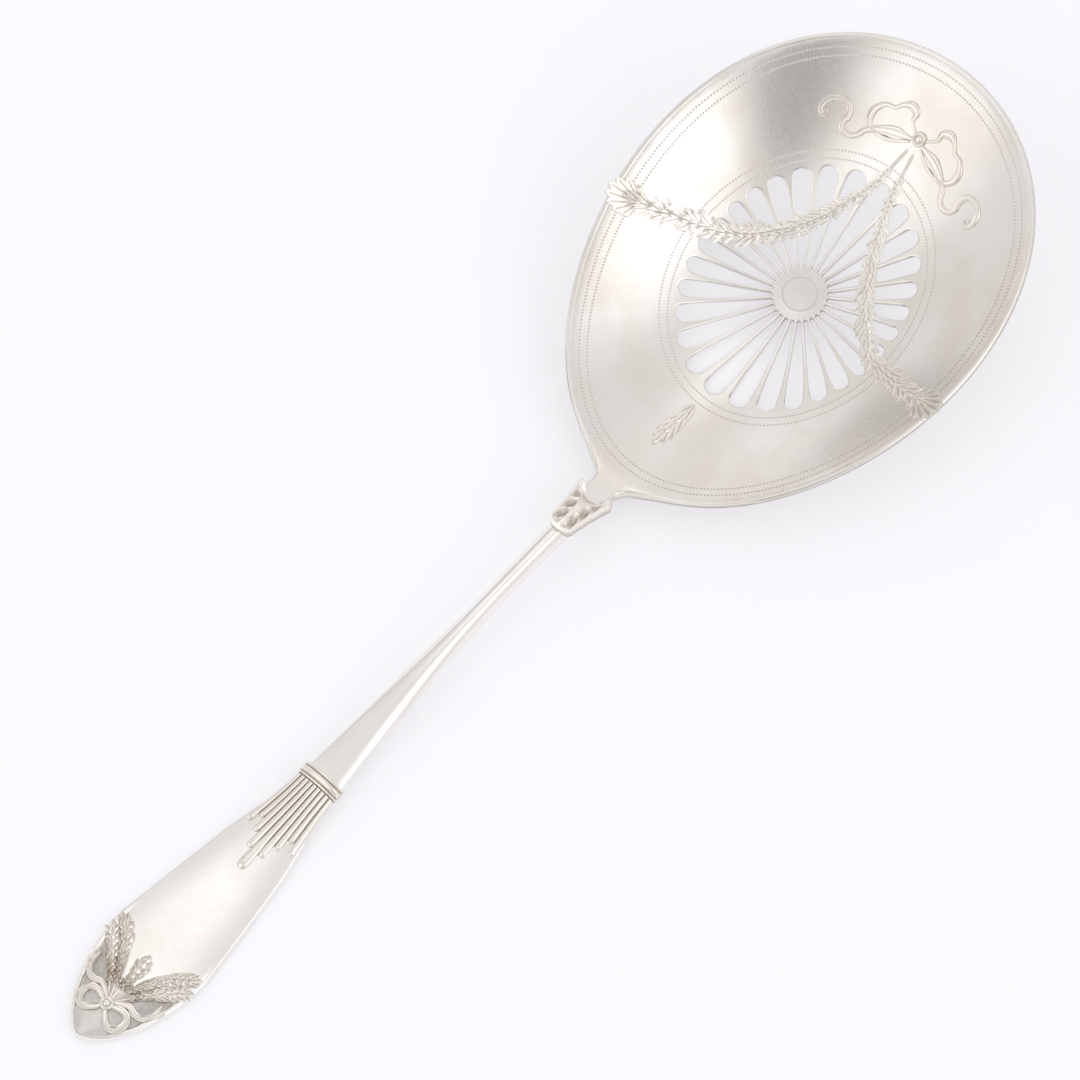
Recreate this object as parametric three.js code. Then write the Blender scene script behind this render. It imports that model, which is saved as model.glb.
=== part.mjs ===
// Pierced silver fruit spoon: an oval draining bowl with a sunburst of slots, a slim stem that widens
// to a pointed end, and applied ornament: laurel swags and a ribbon bow in the bowl, a leaf cap at the
// neck, a tied sheaf of reeds on the stem and a bow with laurel sprays on the pointed end.
// Millimetres. +X runs from the handle's point to the far side of the bowl, +Z is up, and the spoon
// lies as it does on a table: the bowl's underside and the flat back of the handle's end touch Z = 0.
import * as THREE from 'three';

// Overall sizes
const OVERALL_LENGTH = 215;
const SOLDER_GAP = 0.25;

// Bowl: an egg shaped dish of even sheet, tipped up towards its far side
const BOWL_LENGTH = 88.8;
const BOWL_WIDTH = 67.7;
const BOWL_DEPTH = 13.9;
const BOWL_SHEET = 1.0;
const BOWL_TILT = 13.5;
const BOWL_FULLNESS = 0.1;

// Tongue of the bowl that runs back over the stem, and the throat where it leaves the rim
const THROAT_WIDTH = 5.4;
const THROAT_FLARE = 14;
const THROAT_EASE = 0.05;
const TONGUE_LENGTH = 12.5;
const NECK_SLOPE = 14;

// Rosette of teardrop slots round a plain hub
const SLOT_COUNT = 28;
const HUB_RADIUS = 4.6;
const ROSETTE_LENGTH = 46.2;
const ROSETTE_WIDTH = 37.4;
const SPOKE_AT_HUB = 0.62;
const SPOKE_AT_RING = 1.0;

// Stem, measured from the point of the handle
const POINT_WIDTH = 0.8;
const SHOULDER_AT = 20;
const SHOULDER_WIDTH = 18.6;
const PANEL_AT = 40;
const PANEL_WIDTH = 13.3;
const TIE_AT = 56.5;
const TIE_SEAT_WIDTH = 7.4;
const WAIST_AT = 90;
const WAIST_WIDTH = 3.9;
const NECK_WIDTH = 4.8;
const END_THICKNESS = 1.9;
const STEM_THICKNESS = 2.5;
const EDGE_SHARE = 0.55;
const STEM_ARCH = 2.3;
const FLAT_BACK_LENGTH = 35;
const BORDER_WIDTH = 1.0;
const GROUND_DEPTH = 0.4;
const GROUND_LENGTH = 8;

// Leaf cap over the neck joint
const CAP_LENGTH = 10.5;
const CAP_FROM_BEND = 3.2;
const CAP_TAIL_WIDTH = 3.6;
const CAP_EAR_WIDTH = 7.3;
const CAP_HEIGHT = 1.15;
const CAP_LOBES = 4;

// Reeds and their tie
const REED_COUNT = 9;
const REED_WIDTH = 0.6;
const REED_HEIGHT = 0.55;
const REED_SPREAD = 0.9;
const REED_LONGEST = 18;
const TIE_LENGTH = 2.4;
const TIE_HEIGHT = 0.7;
const TIE_OVERHANG = 0.2;

// Bow and sprays on the pointed end
const END_KNOT_AT = 6.9;
const END_KNOT_RADIUS = 0.95;
const END_KNOT_HEIGHT = 0.9;
const END_RIBBON_WIDTH = 0.8;
const END_RIBBON_HEIGHT = 0.5;
const EAR_WIDTH = 1.5;
const EAR_HEIGHT = 0.85;
const EAR_GRAINS = 6;

// Bow in the bowl, set back from the far rim
const BOW_FROM_RIM = 12.4;
const BOW_KNOT_RADIUS = 1.35;
const BOW_KNOT_HEIGHT = 0.9;
const RIBBON_WIDTH = 0.9;
const RIBBON_HEIGHT = 0.45;

// Laurel swags from the bow to both sides of the rim
const SWAG_WIDTH = 4.2;
const SWAG_HEIGHT = 0.9;
const SWAG_LEAVES = 12;
const SWAG_END_ANGLE_LEFT = 104.5;
const SWAG_END_ANGLE_RIGHT = 95.5;
const SWAG_OVERHANG = 1.0;

// Small spray of leaves by the throat
const SPRIG_FROM_RIM = 7.8;
const SPRIG_LENGTH = 10.2;
const SPRIG_WIDTH = 4.4;
const SPRIG_HEIGHT = 0.6;

// Worked out from the sizes above
const DEGREE = Math.PI / 180;
const BOWL_A = BOWL_LENGTH / 2;
const BOWL_B = BOWL_WIDTH / 2;
const TILT_COS = Math.cos(BOWL_TILT * DEGREE);
const TILT_SIN = Math.sin(BOWL_TILT * DEGREE);
const TONGUE_BEND_X = BOWL_A + 1.5;
const TONGUE_END_X = BOWL_A + TONGUE_LENGTH;
const POINT_X = -OVERALL_LENGTH / 2;
const BOW_X = BOWL_A - BOW_FROM_RIM;

const { lerp, clamp, smoothstep } = THREE.MathUtils;

// Closes an open sheet of triangles into a solid: the sheet, its underside and a wall along each free edge
function closedSheet(top, bottom, triangles) {
  const count = top.length;
  const index = [];
  const free = new Map();
  for (const [a, b, c] of triangles) {
    index.push(a, b, c, count + a, count + c, count + b);
    for (const [from, to] of [[a, b], [b, c], [c, a]]) {
      const back = `${to}:${from}`;
      if (free.has(back)) {
        free.delete(back);
      } else {
        free.set(`${from}:${to}`, [from, to]);
      }
    }
  }
  for (const [from, to] of free.values()) {
    index.push(from, count + from, count + to, from, count + to, to);
  }
  const geometry = new THREE.BufferGeometry();
  geometry.setFromPoints([...top, ...bottom]);
  geometry.setIndex(index);
  return geometry;
}

// Triangles of a grid with rows along and columns across, wound to face up when columns run to the left
function gridTriangles(rows, columns) {
  const triangles = [];
  for (let i = 0; i < rows - 1; i += 1) {
    for (let j = 0; j < columns - 1; j += 1) {
      const a = i * columns + j;
      const b = a + columns;
      triangles.push([a, b, b + 1], [a, b + 1, a + 1]);
    }
  }
  return triangles;
}

// Rim of the bowl in plan, seen from the hub: the distance to the rim at a given bearing
function rimRadius(bearing) {
  const turn = Math.abs(Math.atan2(Math.sin(bearing), Math.cos(bearing)));
  let low = 0;
  let high = Math.PI;
  for (let step = 0; step < 48; step += 1) {
    const u = (low + high) / 2;
    const x = BOWL_A * Math.cos(u);
    const y = BOWL_B * Math.sin(u) * (1 + BOWL_FULLNESS * Math.cos(u));
    if (Math.atan2(y, x) < turn) {
      low = u;
    } else {
      high = u;
    }
  }
  const u = (low + high) / 2;
  return Math.hypot(BOWL_A * Math.cos(u), BOWL_B * Math.sin(u) * (1 + BOWL_FULLNESS * Math.cos(u)));
}

// Edge of the bowl's sheet: the rim, filleted at the throat into the straight tongue
function sheetRadius(bearing) {
  const rim = rimRadius(bearing);
  const away = Math.abs(Math.atan2(Math.sin(bearing - Math.PI), Math.cos(bearing - Math.PI)));
  if (away > 40 * DEGREE) {
    return rim;
  }
  const side = THROAT_WIDTH / 2 / Math.max(Math.sin(away), 1e-6);
  const tongue = Math.min(side, TONGUE_END_X / Math.cos(away));
  const blend = Math.max(THROAT_FLARE - Math.abs(rim - tongue), 0) / THROAT_FLARE;
  const end = TONGUE_END_X / Math.cos(away);
  return Math.min(Math.max(rim, tongue) + blend * blend * THROAT_FLARE / 4, end);
}

// Height of the bowl's inner face over its plan, from the rim plane down
function bowlHeight(x, y) {
  const bearing = Math.atan2(y, x);
  const share = (Math.hypot(x, y) / rimRadius(bearing)) ** 2;
  const away = Math.PI - Math.abs(bearing);
  const ease = THROAT_EASE * Math.exp(-((away / 0.22) ** 2));
  const level = (share + 1 - Math.sqrt((share - 1) ** 2 + 4 * ease * ease)) / 2;
  const dish = ease > 1e-4 ? level : share;
  const past = (-x - TONGUE_BEND_X) / 1.2;
  const rise = 1.2 * Math.log1p(Math.exp(Math.min(past, 40)));
  return -BOWL_DEPTH * (1 - dish) + rise * Math.tan((BOWL_TILT + NECK_SLOPE) * DEGREE);
}

function bowlNormal(x, y) {
  const step = 0.05;
  const slopeX = (bowlHeight(x + step, y) - bowlHeight(x - step, y)) / (2 * step);
  const slopeY = (bowlHeight(x, y + step) - bowlHeight(x, y - step)) / (2 * step);
  return new THREE.Vector3(-slopeX, -slopeY, 1).normalize();
}

function underBowl(x, y) {
  const down = bowlNormal(x, y).multiplyScalar(-BOWL_SHEET);
  return new THREE.Vector3(x, y, bowlHeight(x, y)).add(down);
}

// The tipped bowl stands with its lowest point on the table and its far edge at the end of the spoon
function bowlPlace() {
  let lowest = Infinity;
  let farthest = -Infinity;
  for (let i = 0; i <= 400; i += 1) {
    const p = underBowl(lerp(-BOWL_A, BOWL_A, i / 400), 0);
    lowest = Math.min(lowest, p.x * TILT_SIN + p.z * TILT_COS);
    farthest = Math.max(farthest, p.x * TILT_COS - p.z * TILT_SIN);
  }
  return { x: OVERALL_LENGTH / 2 - farthest, z: -lowest };
}

const BOWL_PLACE = bowlPlace();

// From the bowl's own frame, with its rim level, to the spoon lying on the table
function tipped(p) {
  return new THREE.Vector3(
    BOWL_PLACE.x + p.x * TILT_COS - p.z * TILT_SIN,
    p.y,
    BOWL_PLACE.z + p.x * TILT_SIN + p.z * TILT_COS,
  );
}

// Top of the bowl's sheet under a point of the table frame, used where the tongue meets the stem
function tongueTop(x, y) {
  let z = 0;
  let own = 0;
  for (let step = 0; step < 12; step += 1) {
    own = (x - BOWL_PLACE.x + z * TILT_SIN) / TILT_COS;
    z = bowlHeight(own, y);
  }
  return BOWL_PLACE.z + own * TILT_SIN + z * TILT_COS;
}

const TONGUE_END = tipped(new THREE.Vector3(-TONGUE_END_X, 0, bowlHeight(-TONGUE_END_X, 0))).x;
const LAP_X = TONGUE_END - SOLDER_GAP - BOWL_SHEET * Math.sin(Math.max(NECK_SLOPE, 0) * DEGREE);
const LAP_AT = LAP_X - POINT_X;
const EARS_X = tipped(new THREE.Vector3(-TONGUE_BEND_X - CAP_FROM_BEND, 0, 0)).x;
const STEM_END_X = EARS_X - 0.4;

// Half of one slot's edge, from its end by the hub to its end by the ring, along and across the slot
function slotEdge(slot) {
  const bearing = slot * 2 * Math.PI / SLOT_COUNT;
  const reach = 0.5 / Math.hypot(Math.cos(bearing) / ROSETTE_LENGTH, Math.sin(bearing) / ROSETTE_WIDTH);
  const open = Math.tan(Math.PI / SLOT_COUNT);
  const inner = (HUB_RADIUS * open - SPOKE_AT_HUB / 2) / (1 - open);
  const outer = (reach * open - SPOKE_AT_RING / 2) / (1 + open);
  const points = [];
  for (const angle of [180, 135, 90]) {
    points.push([HUB_RADIUS + inner + inner * Math.cos(angle * DEGREE), inner * Math.sin(angle * DEGREE)]);
  }
  points.push([(HUB_RADIUS + inner + reach - outer) / 2, (inner + outer) / 2]);
  for (const angle of [90, 58, 28, 0]) {
    points.push([reach - outer + outer * Math.cos(angle * DEGREE), outer * Math.sin(angle * DEGREE)]);
  }
  return points.map(([along, across]) => ({
    radius: Math.hypot(along, across),
    turn: Math.atan2(across, along),
  }));
}

// Bowl: one sector of sheet from each slot to the next, with the slots left open between the sectors
function bowlSolid() {
  const pitch = 2 * Math.PI / SLOT_COUNT;
  const edges = [];
  for (let slot = 0; slot < SLOT_COUNT; slot += 1) {
    edges.push(slotEdge(slot));
  }
  const slotRows = edges[0].length;
  const hubRows = 2;
  const outerRows = 7;
  const top = [];
  const ids = new Map();
  const plan = (key, radius, bearing) => {
    if (!ids.has(key)) {
      ids.set(key, top.length);
      const x = radius * Math.cos(bearing);
      const y = radius * Math.sin(bearing);
      top.push(new THREE.Vector3(x, y, bowlHeight(x, y)));
    }
    return ids.get(key);
  };
  const centre = plan('centre', 0, 0);
  const triangles = [];
  for (let sector = 0; sector < SLOT_COUNT; sector += 1) {
    const next = (sector + 1) % SLOT_COUNT;
    const start = sector * pitch;
    const beforeThroat = Math.abs(start + pitch - Math.PI) < pitch / 2;
    const afterThroat = Math.abs(start - Math.PI) < pitch / 2;
    const columns = beforeThroat || afterThroat ? 9 : 2;
    const grid = [];
    for (let j = 0; j <= columns; j += 1) {
      let t = j / columns;
      if (afterThroat) {
        t **= 1.7;
      } else if (beforeThroat) {
        t = 1 - (1 - t) ** 1.7;
      }
      const shared = j === columns ? `${next}:0` : `${sector}:${j}`;
      const column = [];
      for (let row = 1; row < hubRows; row += 1) {
        column.push(plan(`hub:${row}:${shared}`, HUB_RADIUS * row / hubRows, start + t * pitch));
      }
      let radius = HUB_RADIUS;
      let bearing = start + t * pitch;
      for (let row = 0; row < slotRows; row += 1) {
        const here = edges[sector][row];
        const there = edges[next][row];
        radius = lerp(here.radius, there.radius, t);
        bearing = start + lerp(here.turn, pitch - there.turn, t);
        const whole = row === 0 || row === slotRows - 1;
        column.push(plan(whole ? `ring:${row}:${shared}` : `slot:${row}:${sector}:${j}`, radius, bearing));
      }
      const edge = sheetRadius(bearing);
      for (let row = 1; row <= outerRows; row += 1) {
        column.push(plan(`outer:${row}:${shared}`, lerp(radius, edge, row / outerRows), bearing));
      }
      grid.push(column);
    }
    for (let j = 0; j < columns; j += 1) {
      triangles.push([centre, grid[j][0], grid[j + 1][0]]);
      for (let row = 0; row < grid[j].length - 1; row += 1) {
        const a = grid[j][row];
        const b = grid[j][row + 1];
        const c = grid[j + 1][row + 1];
        const d = grid[j + 1][row];
        triangles.push([a, b, c], [a, c, d]);
      }
    }
  }
  const bottom = top.map((p) => tipped(underBowl(p.x, p.y)));
  return closedSheet(top.map(tipped), bottom, triangles);
}

// Half width of the stem, from the pointed end over the shoulder and the waist to the neck
const STEM_SIDE = new THREE.SplineCurve([
  new THREE.Vector2(SHOULDER_AT, SHOULDER_WIDTH / 2),
  new THREE.Vector2(PANEL_AT, PANEL_WIDTH / 2),
  new THREE.Vector2(TIE_AT, TIE_SEAT_WIDTH / 2),
  new THREE.Vector2(WAIST_AT, WAIST_WIDTH / 2),
  new THREE.Vector2(LAP_AT, NECK_WIDTH / 2),
]);
const STEM_SIDE_POINTS = STEM_SIDE.getPoints(160);

function stemHalf(at) {
  if (at <= SHOULDER_AT) {
    const t = clamp(at / SHOULDER_AT, 0, 1);
    const ogive = (1 - (1 - t) ** 2) ** 0.6;
    return Math.max(ogive * SHOULDER_WIDTH / 2, POINT_WIDTH / 2);
  }
  for (let i = 1; i < STEM_SIDE_POINTS.length; i += 1) {
    const before = STEM_SIDE_POINTS[i - 1];
    const after = STEM_SIDE_POINTS[i];
    if (at <= after.x) {
      return lerp(before.y, after.y, (at - before.x) / (after.x - before.x));
    }
  }
  return NECK_WIDTH / 2;
}

function stemThickness(at) {
  return lerp(END_THICKNESS, STEM_THICKNESS, smoothstep(at, PANEL_AT, WAIST_AT));
}

// Underside of the stem: flat on the table at the handle's end, then arched over to the tongue
function stemBack(at) {
  if (at > LAP_AT) {
    return tongueTop(POINT_X + at, 0) - STEM_THICKNESS;
  }
  const lift = tongueTop(LAP_X, 0) - STEM_THICKNESS;
  const t = clamp((at - FLAT_BACK_LENGTH) / (LAP_AT - FLAT_BACK_LENGTH), 0, 1);
  return lift * t ** 1.6 + STEM_ARCH * Math.sin(Math.PI * t ** 1.5);
}

// Face of the stem: a low crown, with a sunk ground inside a border on the pointed end
function stemTop(at, y) {
  const half = stemHalf(at);
  const v = clamp(Math.abs(y) / half, 0, 1);
  const edge = stemThickness(at) * EDGE_SHARE;
  const crown = lerp(edge, stemThickness(at), 1 - v * v);
  const inside = smoothstep(half - Math.abs(y), BORDER_WIDTH * 0.7, BORDER_WIDTH * 1.3);
  const spray = at - Math.abs(y) * 1.05;
  const ground = GROUND_DEPTH * inside * (1 - smoothstep(spray, GROUND_LENGTH - 1, GROUND_LENGTH + 1.5));
  return stemBack(at) + crown - ground;
}

function stemSolid() {
  const stations = [0, 0.8, 2, 3.5, 5, 6.5, 8, 10, 12, 14, 16, 18, 20, 23, 26, 30, 35, 40, 45, 50, 55, 60]
    .filter((at) => at < LAP_AT - 30);
  const plain = LAP_AT - stations[stations.length - 1];
  for (let i = 1; i <= 9; i += 1) {
    stations.push(LAP_AT - plain * (1 - i / 9));
  }
  const columns = 13;
  const top = [];
  const bottom = [];
  const addStation = (at, faceAt) => {
    const half = stemHalf(at);
    const rim = Math.min(BORDER_WIDTH / half, 0.3);
    const across = [-1, -1 + rim * 0.7, -1 + rim * 1.3, -0.55, -0.36, -0.18];
    for (const v of [...across, 0, ...across.map((side) => -side).reverse()]) {
      const y = v * half;
      top.push(new THREE.Vector3(POINT_X + at, y, faceAt(at, y)));
      bottom.push(new THREE.Vector3(POINT_X + at, y, stemBack(at)));
    }
  };
  stations.forEach((at) => addStation(at, stemTop));
  const lapFace = (at, y) => {
    const under = tongueTop(POINT_X + at, 0) - BOWL_SHEET - SOLDER_GAP;
    return Math.min(stemTop(at, y), under);
  };
  const lapLength = STEM_END_X - LAP_X;
  for (const share of [0.01, 0.35, 0.7, 1]) {
    addStation(LAP_AT + lapLength * share, lapFace);
  }
  return closedSheet(top, bottom, gridTriangles(top.length / columns, columns));
}

// A strip of relief: a ribbon, reed or spray laid along a curve in plan, seated on a carrying surface
function reliefStrip({ path, rows, columns, half, height, carrier, place }) {
  const knots = path.map(([x, y]) => new THREE.Vector3(x, y, 0));
  const curve = new THREE.CatmullRomCurve3(knots, false, 'centripetal');
  const top = [];
  const bottom = [];
  for (let i = 0; i < rows; i += 1) {
    const u = i / (rows - 1);
    const p = curve.getPointAt(u);
    const t = curve.getTangentAt(u);
    for (let j = 0; j < columns; j += 1) {
      const v = -1 + 2 * j / (columns - 1);
      const x = p.x - t.y * half(u) * v;
      const y = p.y + t.x * half(u) * v;
      const seat = carrier(x, y) + SOLDER_GAP;
      bottom.push(place(new THREE.Vector3(x, y, seat)));
      top.push(place(new THREE.Vector3(x, y, seat + height(u, v))));
    }
  }
  return closedSheet(top, bottom, gridTriangles(rows, columns));
}

const asLaid = (p) => p;
const onStem = (x, y) => stemTop(x - POINT_X, y);
const rounded = (v) => 0.35 + 0.65 * Math.sqrt(Math.max(1 - v * v, 0));
const mirrored = (path, side) => path.map(([x, y]) => [x, y * side]);

// Scalloped outline of a spray: a row of leaves or grains that swell and meet again
function scallops(u, count) {
  return 0.72 + 0.28 * Math.abs(Math.sin(Math.PI * count * u));
}

// Line of a swag from the bow to the rim, as shares of the bowl's half length and half width
const SWAG_LINE = [
  [0.502, 0.056], [0.354, 0.125], [0.212, 0.216],
  [0.1, 0.322], [0.012, 0.442], [-0.042, 0.57],
];

function swagSolid(side, endAngle) {
  const end = endAngle * DEGREE;
  const reach = rimRadius(end) + SWAG_OVERHANG;
  const path = [
    [BOW_X - BOW_KNOT_RADIUS - 0.9, 0.75],
    ...SWAG_LINE.map(([along, across]) => [along * BOWL_A, across * BOWL_B]),
    [reach * Math.cos(end), reach * Math.sin(end)],
  ];
  return reliefStrip({
    path: mirrored(path, side),
    rows: 41,
    columns: 5,
    half: (u) => SWAG_WIDTH / 2 * lerp(0.22, 1, smoothstep(u, 0.05, 0.6)) * scallops(u, SWAG_LEAVES),
    height: (u, v) => SWAG_HEIGHT * rounded(v) * lerp(0.6, 1, smoothstep(u, 0, 0.3)),
    carrier: bowlHeight,
    place: tipped,
  });
}

function ribbonSolid(path, width, rise, carrier, place, rows) {
  return reliefStrip({
    path,
    rows,
    columns: 3,
    half: (u) => width / 2 * (0.7 + 0.3 * Math.sin(Math.PI * u)),
    height: (u, v) => rise * (0.7 + 0.3 * v * v),
    carrier,
    place,
  });
}

// Ribbon bow in the bowl: a round knot, two loops and two waving tails
function bowLoop(side) {
  const path = [[1.0, 1.7], [3.1, 3.4], [3.2, 6.2], [0.8, 8.4], [-2.0, 9.0], [-2.3, 6.6], [-1.1, 2.0]];
  const placed = path.map(([x, y]) => [BOW_X + x, y]);
  return ribbonSolid(mirrored(placed, side), RIBBON_WIDTH, RIBBON_HEIGHT, bowlHeight, tipped, 19);
}

function bowTail(side) {
  const path = [
    [-2.0, 1.9], [-3.5, 5.3], [-4.6, 8.6], [-6.2, 10.6], [-5.4, 12.7],
    [-3.2, 13.1], [-3.1, 15.3], [-5.2, 16.8], [-6.6, 16.0],
  ];
  const placed = path.map(([x, y]) => [BOW_X + x, y]);
  return ribbonSolid(mirrored(placed, side), RIBBON_WIDTH, RIBBON_HEIGHT, bowlHeight, tipped, 19);
}

// A low round boss, flat underneath, seated on the highest point of the surface below it
function knotSolid(x, y, radius, rise, carrier, place) {
  const top = [];
  const bottom = [];
  const triangles = [];
  const around = 14;
  const rings = [0.45, 0.8, 1];
  const seat = (px, py) => carrier(px, py) + SOLDER_GAP;
  const add = (px, py, lift) => {
    top.push(place(new THREE.Vector3(px, py, seat(px, py) + lift)));
    bottom.push(place(new THREE.Vector3(px, py, seat(px, py))));
  };
  add(x, y, rise);
  for (const ring of rings) {
    for (let i = 0; i < around; i += 1) {
      const turn = i * 2 * Math.PI / around;
      const lift = rise * (0.25 + 0.75 * Math.sqrt(1 - ring * ring));
      add(x + radius * ring * Math.cos(turn), y + radius * ring * Math.sin(turn), lift);
    }
  }
  for (let i = 0; i < around; i += 1) {
    const next = (i + 1) % around;
    triangles.push([0, 1 + i, 1 + next]);
    for (let ring = 0; ring < rings.length - 1; ring += 1) {
      const a = 1 + ring * around;
      triangles.push([a + i, a + around + i, a + around + next], [a + i, a + around + next, a + next]);
    }
  }
  return closedSheet(top, bottom, triangles);
}

function sprigSolid() {
  const tip = -(BOWL_A - SPRIG_FROM_RIM);
  return reliefStrip({
    path: [[tip + SPRIG_LENGTH, 0], [tip + SPRIG_LENGTH * 0.5, 0], [tip, 0]],
    rows: 15,
    columns: 5,
    half: (u) => SPRIG_WIDTH / 2 * (0.12 + 0.88 * Math.sin(Math.PI * u ** 0.75) ** 0.8) * scallops(u, 3.5),
    height: (u, v) => SPRIG_HEIGHT * rounded(v),
    carrier: bowlHeight,
    place: tipped,
  });
}

// Leaf cap: a rounded tail on the stem, lobed sides and two ears that stand out past the throat
function capSolid() {
  const start = EARS_X - CAP_LENGTH;
  const carrier = (x, y) => {
    const seat = tongueTop(Math.max(x, TONGUE_END), 0);
    return x < TONGUE_END ? Math.max(stemTop(x - POINT_X, 0), seat) : seat;
  };
  const half = (u) => {
    const tail = Math.sqrt(1 - (1 - clamp(u / 0.16, 0.04, 1)) ** 2);
    return lerp(CAP_TAIL_WIDTH, CAP_EAR_WIDTH, u ** 1.5) / 2 * tail;
  };
  const height = (u, v) => {
    const spear = Math.exp(-((v / lerp(0.2, 0.5, u ** 2)) ** 2));
    const lobes = 0.5 + 0.5 * Math.cos(2 * Math.PI * (CAP_LOBES * u + 0.9 * Math.abs(v)));
    const border = smoothstep(Math.abs(v), 0.8, 1);
    const scooped = lobes * 0.6 * smoothstep(Math.abs(v), 0.2, 0.5);
    return CAP_HEIGHT * (0.42 + 0.58 * Math.max(spear, border * 0.75, scooped));
  };
  return reliefStrip({
    path: [[start, 0], [lerp(start, EARS_X, 0.5), 0], [EARS_X, 0]],
    rows: 17,
    columns: 9,
    half,
    height,
    carrier,
    place: asLaid,
  });
}

// Tie round the reeds: one broad ridge between two thin ones, across the whole face of the stem
function tieSolid() {
  const side = stemHalf(TIE_AT) + TIE_OVERHANG;
  const ridge = (v, middle, half) => Math.sqrt(Math.max(1 - ((v - middle) / half) ** 2, 0));
  return reliefStrip({
    path: [[POINT_X + TIE_AT, side], [POINT_X + TIE_AT, 0], [POINT_X + TIE_AT, -side]],
    rows: 9,
    columns: 13,
    half: () => TIE_LENGTH / 2,
    height: (u, v) => {
      const thin = Math.max(ridge(v, -0.76, 0.24), ridge(v, 0.76, 0.24)) * 0.6;
      return TIE_HEIGHT * (0.35 + 0.65 * Math.max(thin, ridge(v, 0, 0.48)));
    },
    carrier: (x, y) => stemTop(x - POINT_X, clamp(y, -stemHalf(x - POINT_X), stemHalf(x - POINT_X))),
    place: asLaid,
  });
}

// One reed of the sheaf: the middle one is the longest and ends in a wide round tip
function reedSolid(number) {
  const middle = (REED_COUNT - 1) / 2;
  const fromMiddle = Math.abs(number - middle);
  const share = (number - middle) / middle * REED_SPREAD;
  const shorten = fromMiddle === middle ? 0.62 : 1 - 0.47 * (fromMiddle / (middle - 1)) ** 0.8;
  const startAt = TIE_AT - TIE_LENGTH / 2 - SOLDER_GAP;
  const endAt = startAt - REED_LONGEST * (fromMiddle === 0 ? 1 : shorten);
  const path = [0, 0.34, 0.67, 1].map((t) => {
    const at = lerp(startAt, endAt, t);
    return [POINT_X + at, share * lerp(1, 0.9, t) * stemHalf(at)];
  });
  const blade = fromMiddle === 0 ? 0.35 : 0;
  const half = (u) => {
    const widening = stemHalf(lerp(startAt, endAt, u)) / stemHalf(startAt) * lerp(1, 0.9, u);
    const tip = u > 0.99 ? 0.45 : 1;
    return REED_WIDTH / 2 * widening * (1 + blade * smoothstep(u, 0.8, 0.95)) * tip;
  };
  return reliefStrip({
    path,
    rows: fromMiddle === 0 ? 9 : 6,
    columns: 5,
    half,
    height: (u, v) => REED_HEIGHT * rounded(v),
    carrier: onStem,
    place: asLaid,
  });
}

// Bow on the pointed end: loops towards the point, tails waving along both borders
function endLoop(side) {
  const path = [
    [0.1, 1.35], [0.85, 2.9], [0.4, 4.15], [-0.95, 4.6],
    [-2.5, 4.0], [-3.0, 2.6], [-1.45, 1.12],
  ];
  const placed = path.map(([at, y]) => [POINT_X + END_KNOT_AT + at, y]);
  return ribbonSolid(mirrored(placed, side), END_RIBBON_WIDTH, END_RIBBON_HEIGHT, onStem, asLaid, 15);
}

function endTail(side) {
  const path = [[1.2, 1.55], [2.0, 3.0], [1.65, 4.5], [2.0, 5.8], [3.1, 6.6], [4.4, 6.9], [5.6, 6.7]];
  const placed = path.map(([at, y]) => [POINT_X + END_KNOT_AT + at, y]);
  return ribbonSolid(mirrored(placed, side), END_RIBBON_WIDTH, END_RIBBON_HEIGHT, onStem, asLaid, 15);
}

// One ear of the sprays, from the knot outward, scalloped into grains
function earSolid(path, bare) {
  const placed = path.map(([at, y]) => [POINT_X + END_KNOT_AT + at, y]);
  const swell = (u) => lerp(0.16, 1, smoothstep(u, bare, bare + 0.25)) * (1 - 0.75 * smoothstep(u, 0.88, 1));
  return reliefStrip({
    path: placed,
    rows: 17,
    columns: 5,
    half: (u) => EAR_WIDTH / 2 * swell(u) * scallops(u, EAR_GRAINS),
    height: (u, v) => EAR_HEIGHT * rounded(v) * lerp(0.6, 1, smoothstep(u, 0, 0.4)),
    carrier: onStem,
    place: asLaid,
  });
}

const CENTRE_EAR = [[1.5, 0], [5.5, 0], [9.9, 0]];
const INNER_EAR = [[1.45, 0.42], [4.4, 1.75], [6.8, 3.1], [9.0, 4.55], [10.9, 6.3], [12.6, 8.7]];
const OUTER_EAR = [[1.5, 1.0], [3.6, 2.7], [5.55, 4.45], [7.4, 6.35], [9.0, 8.15], [10.2, 9.6]];

const spoon = new THREE.Group();
spoon.name = 'fruit_spoon';

function addPiece(name, geometry, colour) {
  const material = new THREE.MeshStandardMaterial({ color: colour, metalness: 1, roughness: 0.35 });
  const mesh = new THREE.Mesh(geometry, material);
  mesh.name = name;
  spoon.add(mesh);
}

const SILVER = 0xd9d3c7;
const WORN_SILVER = 0xc9c0b0;

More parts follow.
